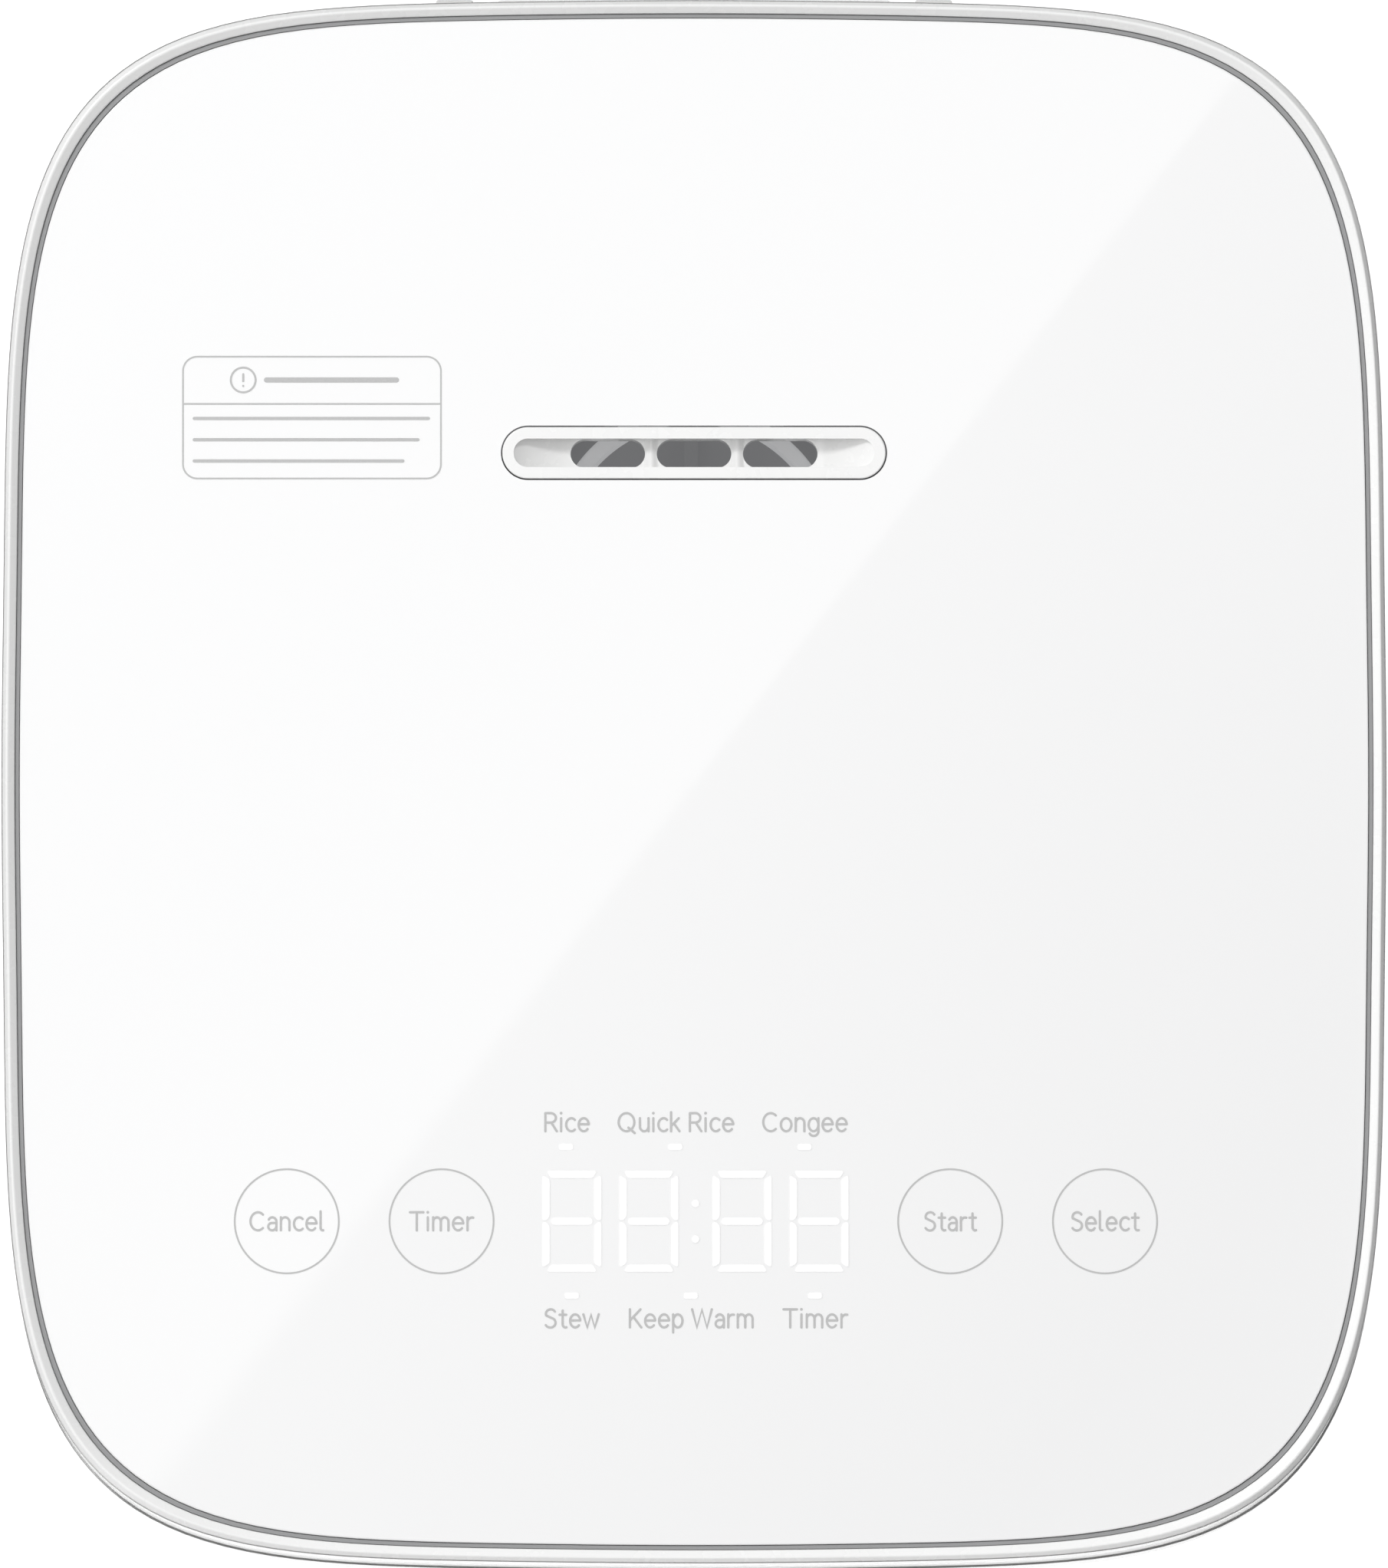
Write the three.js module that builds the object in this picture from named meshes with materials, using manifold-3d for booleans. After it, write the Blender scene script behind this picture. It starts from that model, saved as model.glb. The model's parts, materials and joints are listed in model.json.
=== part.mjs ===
// A three-litre electric rice cooker with a hinged touch-panel lid.
// Millimetres, +Z up, front towards -Y. The feet stand on z = 0.
import * as THREE from "three";
import { mergeVertices } from "three/addons/utils/BufferGeometryUtils.js";
import Module from "manifold-3d";

const wasm = await Module();
wasm.setup();

// ---------------------------------------------------------------- dimensions

// Plan outline: a superellipse, square in feel with wide soft corners.
const HALF_WIDTH = 118.9;
const HALF_DEPTH = 134;
const PLAN_POWER = 5.1;
const PLAN_SEGMENTS = 40;
const CORNER_CROWDING = 0.45; // draws the plan's facets together in the corners
const ROUND_SEGMENTS = 30;
const CENTRE = HALF_WIDTH; // an inset that lands on the upright axis

// Levels.
const FOOT_HEIGHT = 3.6;
const BASE_Z = 4;
const BASE_TOP = 6.8;
const BODY_TOP = 149.4;
const LID_BOTTOM = 150;
const LID_TOP = 200;
const PANEL_TOP = 199.2;
const PANEL_THICK = 2.7;
const LEDGE_Z = 196.2;

// Edge of the lid, measured inwards from the widest outline.
const LID_INSET = 0.1;
const GROOVE_INSET = 2.35;
const PANEL_INSET = 3.2;

// Hinge along the back edge.
const HINGE_Y = 129;
const HINGE_Z = 158;
const BARREL_R = 7;
const BARREL_HALF = 33.8;
const KNUCKLE_IN = 38;
const KNUCKLE_OUT = 44.5;
const PIN_R = 2;

// Cooking well, all round about the upright axis.
const POT_R = 95;
const POT_WALL = 1.8;
const POT_FLOOR = 29.9;
const POT_RIM_R = 103.4;
const POT_RIM_Z = 145.3;
const WELL_R = 104;
const CHAMBER_R = 101.3;
const HEATER_R = 76;
const TUB_R = 101.5;
const TUB_TOP = 163;

// Steam vent and the chamber under it.
const VENT_Y = 56.4;
const VENT_LENGTH = 65.8;
const VENT_WIDTH = 8.85;
const SLOT_LENGTH = 12.8;
const SLOT_WIDTH = 4.9;
const SLOT_PITCH = 14.8;
const STEAM_Y = 40.2;
const STEAM_RING_R = 23.7;

// Touch keys and display.
const KEY_Y = -75.45;
const KEY_XS = [-69.7, -43.15, 44.1, 70.65];
const BOARD_Z = 190;

// Latch behind the front wall.
const BUTTON_Z = 128;
const CATCH_Y = -120;

// Power inlet in the back wall.
const INLET_X = 50;
const INLET_Z = 50;

// Corner fixings.
const SCREW_X = 80;
const SCREW_Y = 84;
const FOOT_X = 62;
const FOOT_Y = 98;

// ------------------------------------------------------------------- helpers

function solid(geometry) {
  const plain = geometry.clone();
  plain.deleteAttribute("normal");
  plain.deleteAttribute("uv");
  const merged = mergeVertices(plain, 1e-4);
  return new wasm.Manifold(
    new wasm.Mesh({
      numProp: 3,
      vertProperties: merged.attributes.position.array,
      triVerts: new Uint32Array(merged.index.array),
    }),
  );
}

function geometryOf(body) {
  const mesh = body.getMesh();
  const points = new Float32Array(mesh.numVert * 3);
  for (let i = 0; i < mesh.numVert; i++) {
    points.set(mesh.vertProperties.subarray(i * mesh.numProp, i * mesh.numProp + 3), i * 3);
  }
  const geometry = new THREE.BufferGeometry();
  geometry.setAttribute("position", new THREE.BufferAttribute(points, 3));
  geometry.setIndex(new THREE.BufferAttribute(new Uint32Array(mesh.triVerts), 1));
  geometry.computeVertexNormals();
  return geometry;
}

function joined(bodies) {
  return bodies.reduce((sum, body) => sum.add(body));
}

function cutBy(body, tools) {
  return tools.reduce((rest, tool) => rest.subtract(tool), body);
}

// Radius of the superellipse with half axes a and b at one angle.
function planRadius(angle, a, b) {
  const along = Math.abs(Math.cos(angle) / a) ** PLAN_POWER;
  const across = Math.abs(Math.sin(angle) / b) ** PLAN_POWER;
  return (along + across) ** (-1 / PLAN_POWER);
}

// Turned about the upright axis; the profile is [radius, z], anticlockwise.
function turnedGeometry(profile, segments) {
  const points = profile.map(([r, z]) => new THREE.Vector2(r, z));
  const geometry = new THREE.LatheGeometry(points, segments);
  return geometry.rotateX(Math.PI / 2);
}

function turned(profile, segments = ROUND_SEGMENTS) {
  return solid(turnedGeometry(profile, segments));
}

// A ring whose profile closes on itself.
function ring(profile, segments = ROUND_SEGMENTS) {
  return turned([...profile, profile[0]], segments);
}

// The same turning pressed out to the superellipse; the profile is [inset, z].
function squareTurned(profile) {
  const geometry = turnedGeometry(
    profile.map(([inset, z]) => [HALF_WIDTH - inset, z]),
    PLAN_SEGMENTS,
  );
  const place = geometry.attributes.position;
  for (let i = 0; i < place.count; i++) {
    const rho = Math.hypot(place.getX(i), place.getY(i));
    if (rho < 1e-6) continue;
    const turn = Math.atan2(place.getY(i), place.getX(i));
    const angle = turn + (CORNER_CROWDING * Math.sin(4 * turn)) / 4;
    const r = planRadius(angle, rho, rho + HALF_DEPTH - HALF_WIDTH);
    place.setXY(i, r * Math.cos(angle), r * Math.sin(angle));
  }
  return solid(geometry);
}

function squareRing(profile) {
  return squareTurned([...profile, profile[0]]);
}

function squarePlate(inset, z0, z1) {
  return squareTurned([
    [CENTRE, z0],
    [inset, z0],
    [inset, z1],
    [CENTRE, z1],
  ]);
}

function block(x0, x1, y0, y1, z0, z1) {
  const geometry = new THREE.BoxGeometry(x1 - x0, y1 - y0, z1 - z0);
  return solid(geometry.translate((x0 + x1) / 2, (y0 + y1) / 2, (z0 + z1) / 2));
}

function rodZ(radius, z0, z1, x = 0, y = 0, segments = 14) {
  const geometry = new THREE.CylinderGeometry(radius, radius, z1 - z0, segments);
  return solid(geometry.rotateX(Math.PI / 2).translate(x, y, (z0 + z1) / 2));
}

function rodX(radius, x0, x1, y, z, segments = 14) {
  const geometry = new THREE.CylinderGeometry(radius, radius, x1 - x0, segments);
  return solid(geometry.rotateZ(Math.PI / 2).translate((x0 + x1) / 2, y, z));
}

function rodY(radius, y0, y1, x, z, segments = 12) {
  const geometry = new THREE.CylinderGeometry(radius, radius, y1 - y0, segments);
  return solid(geometry.translate(x, (y0 + y1) / 2, z));
}

function roundedShape(width, depth, radius) {
  const w = width / 2 - radius;
  const d = depth / 2 - radius;
  const shape = new THREE.Shape();
  shape.absarc(w, d, radius, 0, Math.PI / 2);
  shape.absarc(-w, d, radius, Math.PI / 2, Math.PI);
  shape.absarc(-w, -d, radius, Math.PI, 1.5 * Math.PI);
  shape.absarc(w, -d, radius, 1.5 * Math.PI, 2 * Math.PI);
  return shape;
}

// A slab with rounded corners in plan.
function slab(width, depth, radius, z0, z1, x = 0, y = 0) {
  const shape = roundedShape(width, depth, radius);
  const geometry = new THREE.ExtrudeGeometry(shape, {
    depth: z1 - z0,
    bevelEnabled: false,
    curveSegments: 3,
  });
  return solid(geometry.translate(x, y, z0));
}

function stadium(length, width, z0, z1, x = 0, y = 0) {
  return slab(length, width, width / 2 - 0.01, z0, z1, x, y);
}

// A stadium standing in the front wall, from y0 back to y1.
function wallStadium(length, height, y0, y1, z) {
  const shape = roundedShape(length, height, height / 2 - 0.01);
  const geometry = new THREE.ExtrudeGeometry(shape, {
    depth: y1 - y0,
    bevelEnabled: false,
    curveSegments: 3,
  });
  return solid(geometry.rotateX(Math.PI / 2).translate(0, y1, z));
}

class Coil extends THREE.Curve {
  constructor(radius, height, turns) {
    super();
    this.radius = radius;
    this.height = height;
    this.turns = turns;
  }
  getPoint(t, target = new THREE.Vector3()) {
    const angle = t * this.turns * 2 * Math.PI;
    return target.set(
      this.radius * Math.cos(angle),
      this.radius * Math.sin(angle),
      this.height * t,
    );
  }
}

// A coil spring standing on z = 0, its wire swept along the helix.
function coil(radius, wire, height, turns, stepsPerTurn, sides) {
  const section = new THREE.Shape();
  for (let i = 0; i < sides; i++) {
    const angle = (i / sides) * 2 * Math.PI;
    const x = wire * Math.cos(angle);
    const y = wire * Math.sin(angle);
    if (i === 0) section.moveTo(x, y);
    else section.lineTo(x, y);
  }
  section.closePath();
  const path = new Coil(radius, height - 2 * wire, turns);
  const geometry = new THREE.ExtrudeGeometry(section, {
    steps: Math.round(turns * stepsPerTurn),
    extrudePath: path,
    bevelEnabled: false,
  });
  return solid(geometry.translate(0, 0, wire));
}

function finish(colour, roughness, metalness) {
  return { color: colour, roughness, metalness };
}

const WHITE_SHELL = finish(0xf4f4f2, 0.32, 0);
const PANEL_WHITE = finish(0xfafafa, 0.08, 0);
const TRIM_GREY = finish(0x8c8e90, 0.4, 0.1);
const COLLAR_WHITE = finish(0xe6e6e3, 0.45, 0);
const DARK_PLASTIC = finish(0x2c2d2f, 0.5, 0);
const CHAMBER_GREY = finish(0x5e5f61, 0.6, 0);
const STEEL = finish(0xb9bbbd, 0.3, 1);
const SPRING_STEEL = finish(0xa2a4a8, 0.25, 1);
const ALUMINIUM = finish(0xc9cacb, 0.4, 1);
const NON_STICK = finish(0x3a3a3c, 0.35, 0.3);
const SILICONE = finish(0xd8d8d4, 0.6, 0);
const RUBBER = finish(0x3f4042, 0.8, 0);
const BOARD_GREEN = finish(0x2f6b45, 0.5, 0);
const BRASS = finish(0xc2a24c, 0.3, 1);

function part(parent, name, body, look, [x, y, z] = [0, 0, 0]) {
  const mesh = new THREE.Mesh(geometryOf(body), new THREE.MeshStandardMaterial(look));
  mesh.name = name;
  mesh.position.set(x, y, z);
  parent.add(mesh);
  return mesh;
}

// ------------------------------------------------------------------- housing

const cooker = new THREE.Group();
cooker.name = "rice_cooker";
const housing = new THREE.Group();
housing.name = "housing";
cooker.add(housing);

// Outer skin: a tapering tub, open at the top and at the base plate.
function outerBody() {
  const skin = squareRing([
    [24, 4],
    [16, 4.8],
    [9.5, 9],
    [6, 17],
    [2.6, 40],
    [0, 100],
    [0, 132],
    [0.5, BODY_TOP],
    [3, BODY_TOP],
    [2.5, 132],
    [2.5, 100],
    [5.2, 41],
    [8.8, 19],
    [12.8, 11.2],
    [24, 7],
  ]);
  const added = [];
  const removed = [];
  for (const sx of [-1, 1]) {
    for (const sy of [-1, 1]) {
      added.push(screwTower(sx * SCREW_X, sy * SCREW_Y));
      removed.push(rodZ(1.8, 5, 22, sx * SCREW_X, sy * SCREW_Y, 12));
    }
  }
  for (const x of [-57, 23]) {
    added.push(rodY(3, 106.9, 130.2, x, 46, 12));
    added.push(rodY(3, 106.9, 132.5, x, 112, 12));
  }
  removed.push(wallStadium(34.6, 11.6, -140, -128, BUTTON_Z));
  removed.push(
    block(INLET_X - 14.3, INLET_X + 14.3, 124, 140, INLET_Z - 10.3, INLET_Z + 10.3),
  );
  return cutBy(joined([skin, ...added]), removed);
}

// One screw tower with a web out to the side wall.
function screwTower(x, y) {
  const reach = 18;
  const web = new THREE.BoxGeometry(reach, 3, 14.8);
  web.translate(reach / 2, 0, 14.6);
  web.rotateZ(Math.atan2(y, x));
  web.translate(x, y, 0);
  return rodZ(5, 7.2, 26, x, y, 16).add(solid(web));
}

part(housing, "outer_body", outerBody(), WHITE_SHELL);

// Collar: closes the top of the body, carries the pot rim and the hinge.
function topCollar() {
  const plate = squarePlate(3.3, 146.4, BODY_TOP);
  const skirt = squareRing([
    [5.3, 140],
    [3.3, 140],
    [3.3, 147],
    [5.3, 147],
  ]);
  const opening = rodZ(WELL_R, 130, 160, 0, 0, ROUND_SEGMENTS);
  const seat = ring([
    [97, 128],
    [99.5, 128],
    [99.5, 143],
    [106, 143],
    [106, BODY_TOP],
    [WELL_R, BODY_TOP],
    [WELL_R, 145],
    [97, 145],
  ]);
  const gutter = ring([
    [106.5, 147.9],
    [110.5, 147.9],
    [110.5, 152],
    [106.5, 152],
  ]);
  const catchSlot = block(-12, 12, -127, -113, 138, 152);
  const flange = cutBy(plate.add(skirt), [opening]);
  const knuckles = [-1, 1].map((side) => hingeKnuckle(side));
  return cutBy(joined([flange, seat, ...knuckles]), [
    gutter,
    catchSlot,
    rodX(PIN_R + 0.3, -60, 60, HINGE_Y, HINGE_Z, 16),
  ]);
}

function hingeKnuckle(side) {
  const x0 = side > 0 ? KNUCKLE_IN : -KNUCKLE_OUT;
  const x1 = side > 0 ? KNUCKLE_OUT : -KNUCKLE_IN;
  const eye = rodX(BARREL_R, x0, x1, HINGE_Y, HINGE_Z, 20);
  return eye.add(block(x0, x1, 121.5, 130.4, 147, HINGE_Z));
}

part(housing, "top_collar", topCollar(), COLLAR_WHITE);
part(
  housing,
  "hinge_pin",
  rodX(PIN_R, -44.3, 44.3, 0, 0, 16),
  STEEL,
  [0, HINGE_Y, HINGE_Z],
);

// Heating chamber round the pot.
const innerChamber = ring([
  [6, 16],
  [95, 16],
  [CHAMBER_R, 22],
  [CHAMBER_R, 142.4],
  [CHAMBER_R - 0.8, 142.4],
  [CHAMBER_R - 0.8, 22.4],
  [94.7, 16.8],
  [6, 16.8],
]);
part(housing, "inner_chamber", innerChamber, STEEL);

const sideHeater = ring([
  [CHAMBER_R + 0.4, 0],
  [CHAMBER_R + 1.7, 0],
  [CHAMBER_R + 1.7, 25],
  [CHAMBER_R + 0.4, 25],
]);
part(housing, "side_heater_band", sideHeater, ALUMINIUM, [0, 0, 70]);

const heaterPlate = ring([
  [17, 19],
  [HEATER_R - 4, 19],
  [HEATER_R, 22],
  [HEATER_R, 28],
  [HEATER_R - 4, 29.5],
  [17, 29.5],
]);
part(housing, "heater_plate", heaterPlate, ALUMINIUM);

// Cooking pot: flat floor, rounded shoulder, straight wall and a flat rim.
function innerPot() {
  const inside = POT_R - POT_WALL;
  return turned([
    [0, POT_FLOOR],
    [70, POT_FLOOR],
    [83, 33.5],
    [92, 43.5],
    [POT_R, 58],
    [POT_R, 143.5],
    [96.5, POT_RIM_Z],
    [POT_RIM_R - 0.4, POT_RIM_Z],
    [POT_RIM_R, POT_RIM_Z + 1],
    [POT_RIM_R - 0.4, POT_RIM_Z + 2],
    [95.6, POT_RIM_Z + 2],
    [inside, 145],
    [inside, 58.4],
    [90.4, 44.6],
    [82.2, 35.4],
    [70, 31.9],
    [0, 31.9],
  ]);
}

part(housing, "inner_pot", innerPot(), NON_STICK);

// Base cover: vented plate with feet plugged into it.
function baseCover() {
  const plate = squarePlate(24.4, BASE_Z, BASE_TOP);
  const holes = [];
  for (const sx of [-1, 1]) {
    for (const sy of [-1, 1]) {
      holes.push(rodZ(1.9, 0, 10, sx * SCREW_X, sy * SCREW_Y, 12));
      holes.push(rodZ(3.6, 0, 5.8, sx * SCREW_X, sy * SCREW_Y, 16));
      holes.push(rodZ(2.6, 0, 10, sx * FOOT_X, sy * FOOT_Y, 12));
    }
  }
  for (const row of [-1, 1]) {
    for (let i = -2; i <= 2; i++) {
      holes.push(block(i * 12 - 2, i * 12 + 2, row * 35 - 13, row * 35 + 13, 0, 10));
    }
  }
  return cutBy(plate, holes);
}

part(housing, "base_cover", baseCover(), DARK_PLASTIC);

const foot = joined([
  rodZ(8, 0, FOOT_HEIGHT, 0, 0, 16),
  rodZ(2.2, FOOT_HEIGHT - 0.5, 8, 0, 0, 12),
]);
const baseScrew = joined([rodZ(3.2, 4.1, 5.5, 0, 0, 16), rodZ(1.5, 5, 20, 0, 0, 12)]);
const CORNERS = [
  ["front_left", -1, -1],
  ["front_right", 1, -1],
  ["back_left", -1, 1],
  ["back_right", 1, 1],
];
for (const [corner, sx, sy] of CORNERS) {
  part(housing, `foot_${corner}`, foot, RUBBER, [sx * FOOT_X, sy * FOOT_Y, 0]);
  part(housing, `base_screw_${corner}`, baseScrew, STEEL, [sx * SCREW_X, sy * SCREW_Y, 0]);
}

// Power electronics in the space behind the well.
part(housing, "power_board", block(-62, 28, 0, 1.6, 40, 118), BOARD_GREEN, [0, 105, 0]);
const transformer = joined([
  block(-14, 14, 0, 14, -12, 12),
  block(-9, 9, 13, 19, -10, 10),
]);
part(housing, "board_transformer", transformer, DARK_PLASTIC, [-26, 106.9, 62]);
part(housing, "board_relay", block(-9.5, 9.5, 0, 15, -10, 10), DARK_PLASTIC, [-42, 106.9, 94]);
part(housing, "board_capacitor", rodY(6.5, 0, 17, 0, 0, 20), TRIM_GREY, [0, 106.9, 92]);
part(housing, "thermal_fuse", rodX(2.2, -8, 8, 0, 0, 12), BRASS, [0, 44, 13.3]);

// Mains inlet: a flanged block with an open socket and three pins.
function powerInlet() {
  const shell = joined([block(-14, 14, -20, 0, -10, 10), block(-16, 16, -8.5, -6.5, -12, 12)]);
  const socket = block(-12, 12, -16, 1, -8, 8);
  const pinHoles = [-7, 0, 7].map((x) => {
    const z = x === 0 ? 3 : -1.5;
    return block(x - 1.4, x + 1.4, -25, -10, z - 2.3, z + 2.3);
  });
  return cutBy(shell, [socket, ...pinHoles]);
}

part(housing, "power_inlet", powerInlet(), DARK_PLASTIC, [INLET_X, 131.2, INLET_Z]);
[-7, 0, 7].forEach((x, i) => {
  const z = x === 0 ? 3 : -1.5;
  const blade = block(-1, 1, -24, -5.2, -2, 2);
  part(housing, `inlet_pin_${i + 1}`, blade, STEEL, [INLET_X + x, 131.2, INLET_Z + z]);
});

// Latch seat behind the front wall: a tray for the slide and a spring wall.
function latchHousing() {
  const tray = block(-11, 11, -125.5, -109, 127.8, 130.6);
  const pieces = [tray, block(-11, 11, -114, -112, 118, 129), rodY(1.9, -118, -113, 0, 123.2, 12)];
  for (const side of [-1, 1]) {
    const x0 = side > 0 ? 8.6 : -11;
    const x1 = side > 0 ? 11 : -8.6;
    pieces.push(block(x0, x1, -125.5, -109, 130, 136));
    pieces.push(block(x0, x1, -112, -109, 135, 146.1));
  }
  return joined(pieces);
}

part(housing, "latch_housing", latchHousing(), DARK_PLASTIC);

// Temperature sensor sprung up against the pot floor.
part(housing, "sensor_spring", coil(10, 0.7, 11, 3, 12, 4), SPRING_STEEL, [0, 0, 17.1]);
const sensorCap = turned(
  [
    [0, 8.4],
    [13.6, 8.4],
    [13.6, 0],
    [15, 0],
    [15, 9],
    [14.4, 9.6],
    [0, 9.6],
  ],
  32,
);
part(housing, "sensor_cap", sensorCap, ALUMINIUM, [0, 0, 20]);

// --------------------------------------------------------------------- latch

const latch = new THREE.Group();
latch.name = "latch";
cooker.add(latch);

function releaseButton() {
  const key = wallStadium(34, 11, 0.1, 4, 0);
  return key.add(wallStadium(38, 15, 2.9, 4.9, 0));
}

part(latch, "release_button", releaseButton(), WHITE_SHELL, [0, -HALF_DEPTH, BUTTON_Z]);

// Slide: runs back under the catch and turns up behind it.
const latchSlide = joined([
  block(-8, 8, -128.7, -114.5, 131, 133.5),
  block(-8, 8, -116.5, -114.5, 131, 142.5),
  block(-6, 6, -118.6, -115, 140, 142.5),
]);
part(latch, "latch_slide", latchSlide, DARK_PLASTIC);
const latchSpring = part(
  housing,
  "latch_spring",
  coil(3.2, 0.45, 14.4, 5, 8, 4),
  SPRING_STEEL,
  [0, -114.3, 123.2],
);
latchSpring.rotation.x = Math.PI / 2;

// ----------------------------------------------------------------------- lid

const lid = new THREE.Group();
lid.name = "lid";
cooker.add(lid);

// Slanted cut that lets the back edge roll over the collar as the lid opens.
function backChamfer(offset) {
  const depth = 20;
  const geometry = new THREE.BoxGeometry(400, 2 * depth, 2 * depth);
  geometry.rotateX(Math.PI / 4);
  const out = depth / Math.SQRT2;
  return solid(geometry.translate(0, 128.6 - offset + out, LID_BOTTOM - out));
}

function knuckleNotch(side) {
  const x0 = side > 0 ? 36.5 : -46;
  const x1 = side > 0 ? 46 : -36.5;
  return block(x0, x1, 119, 140, 140, 167);
}

// Lid skin: side wall, rounded lip, and the ledge the panel rests on.
function lidShell() {
  const skin = squareRing([
    [LID_INSET, LID_BOTTOM],
    [LID_INSET, 198.9],
    [0.35, 199.5],
    [0.85, LID_TOP],
    [1.2, LID_TOP],
    [GROOVE_INSET, PANEL_TOP],
    [GROOVE_INSET, LEDGE_Z],
    [7.5, LEDGE_Z],
    [7.5, 193.6],
    [3.2, 193.6],
    [2.9, 191],
    [2.9, LID_BOTTOM],
  ]);
  const wall = cutBy(skin, [backChamfer(0), knuckleNotch(-1), knuckleNotch(1)]);
  const barrel = rodX(BARREL_R, -BARREL_HALF, BARREL_HALF, HINGE_Y, HINGE_Z, 20);
  return cutBy(wall.add(barrel), [
    rodX(PIN_R + 0.3, -60, 60, HINGE_Y, HINGE_Z, 16),
    rodX(5.3, -20, 20, HINGE_Y, HINGE_Z, 16),
  ]);
}

part(lid, "lid_shell", lidShell(), WHITE_SHELL);
const lidSpring = part(
  lid,
  "lid_spring",
  coil(3.9, 0.6, 34, 7, 8, 4),
  SPRING_STEEL,
  [-17, HINGE_Y, HINGE_Z],
);
lidSpring.rotation.y = Math.PI / 2;

const lidTrim = squareRing([
  [2.95, LEDGE_Z + 0.3],
  [2.6, LEDGE_Z + 0.3],
  [2.6, 198.7],
  [2.95, 198.7],
]);
part(lid, "lid_trim", lidTrim, TRIM_GREY);

function topPanel() {
  const plate = squarePlate(PANEL_INSET, PANEL_TOP - PANEL_THICK, PANEL_TOP);
  return plate.subtract(stadium(VENT_LENGTH + 0.5, VENT_WIDTH + 0.5, 190, 205, 0, VENT_Y));
}

part(lid, "top_panel", topPanel(), PANEL_WHITE);

// Underside of the lid with the round tub for the inner lid.
function lidInnerFrame() {
  const plate = squarePlate(3.3, 150.2, 152.7);
  const mouth = rodZ(TUB_R, 140, 170, 0, 0, ROUND_SEGMENTS);
  const tub = turned([
    [0, TUB_TOP - 2.5],
    [TUB_R, TUB_TOP - 2.5],
    [TUB_R, 150.2],
    [TUB_R + 2, 150.2],
    [TUB_R + 2, TUB_TOP],
    [0, TUB_TOP],
  ]);
  const posts = [];
  for (const x of [-78, 78]) {
    posts.push(rodZ(3, TUB_TOP - 1, BOARD_Z - 0.3, x, -58, 12));
    posts.push(rodZ(3, 152, BOARD_Z - 0.3, x, -92, 12));
  }
  return cutBy(joined([plate.subtract(mouth), tub, ...posts]), [
    backChamfer(0.4),
    block(-46, 46, 119.6, 140, 140, 170),
    block(-9.5, 9.5, CATCH_Y - 1.4, CATCH_Y + 1.4, 149, 154),
    rodZ(9, 150, 170, 0, STEAM_Y, 20),
    rodZ(3.9, 150, 170, -45, 0, 12),
  ]);
}

part(lid, "lid_inner_frame", lidInnerFrame(), COLLAR_WHITE);

// Removable inner lid, pressed down in the middle, with steam holes.
function innerLid() {
  const plate = turned([
    [0, 152.6],
    [60, 152.6],
    [64, 154],
    [96.6, 154],
    [96.6, 155.2],
    [63.5, 155.2],
    [59.5, 153.8],
    [0, 153.8],
  ]);
  const holes = [];
  for (let i = 0; i < 5; i++) {
    const angle = (i / 5) * 2 * Math.PI;
    const x = 4 * Math.cos(angle);
    const y = STEAM_Y + 4 * Math.sin(angle);
    holes.push(rodZ(1.6, 150, 160, x, y, 10));
  }
  return cutBy(plate, holes);
}

part(lid, "inner_lid", innerLid(), ALUMINIUM);

const sealRing = ring([
  [96, 147.6],
  [98.5, 147.6],
  [100.9, 151],
  [100.9, 157.5],
  [95.4, 157.5],
  [95.4, 155.5],
  [97, 155.5],
  [97, 153.7],
  [95.4, 153.7],
  [95.4, 151],
]);
part(lid, "seal_ring", sealRing, SILICONE);

const grommet = ring(
  [
    [6.5, 0],
    [8.6, 0],
    [8.6, 9],
    [6.5, 9],
  ],
  20,
);
part(lid, "steam_grommet", grommet, SILICONE, [0, STEAM_Y, 154.1]);

// Steam chamber: a closed box with a ring wall and a rib that catch boiling starch.
function steamChamber() {
  const shell = slab(74, 64, 8, 163.4, 195.9, 0, 42);
  const hollow = slab(70, 60, 6, 165.4, 193.6, 0, 42);
  const wall = ring(
    [
      [STEAM_RING_R - 1.3, 165],
      [STEAM_RING_R + 1.3, 165],
      [STEAM_RING_R + 1.3, 183],
      [STEAM_RING_R - 1.3, 183],
    ],
    32,
  );
  const rib = block(-1.6, 0.6, STEAM_Y + 9, STEAM_Y + STEAM_RING_R, 165, 183);
  const inside = wall.translate([0, STEAM_Y, 0]).add(rib);
  return cutBy(shell.subtract(hollow).add(inside), [
    rodZ(6.5, 160, 168, 0, STEAM_Y, 20),
    stadium(66.6, 9.6, 190, 200, 0, VENT_Y),
    block(-27, -23, STEAM_Y - 4, STEAM_Y + 4, 165.4, 170),
  ]);
}

part(lid, "steam_chamber", steamChamber(), CHAMBER_GREY);

function ventGasket() {
  const outer = stadium(66.0, 9.0, 0, 2.2);
  return outer.subtract(stadium(64, 7, -1, 4));
}

part(lid, "vent_gasket", ventGasket(), RUBBER, [0, VENT_Y, 193.6]);

// Electronics under the panel.
part(lid, "touch_board", slab(176, 46, 3, 0, 1.6), BOARD_GREEN, [0, KEY_Y, BOARD_Z]);
part(lid, "display_module", slab(68, 40, 2, 0, 4.3), DARK_PLASTIC, [0, KEY_Y, BOARD_Z + 1.9]);
KEY_XS.forEach((x, i) => {
  const at = [x, KEY_Y, BOARD_Z + 1.9];
  part(lid, `touch_spring_${i + 1}`, coil(5, 0.5, 4.3, 2.5, 8, 4), SPRING_STEEL, at);
});

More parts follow.
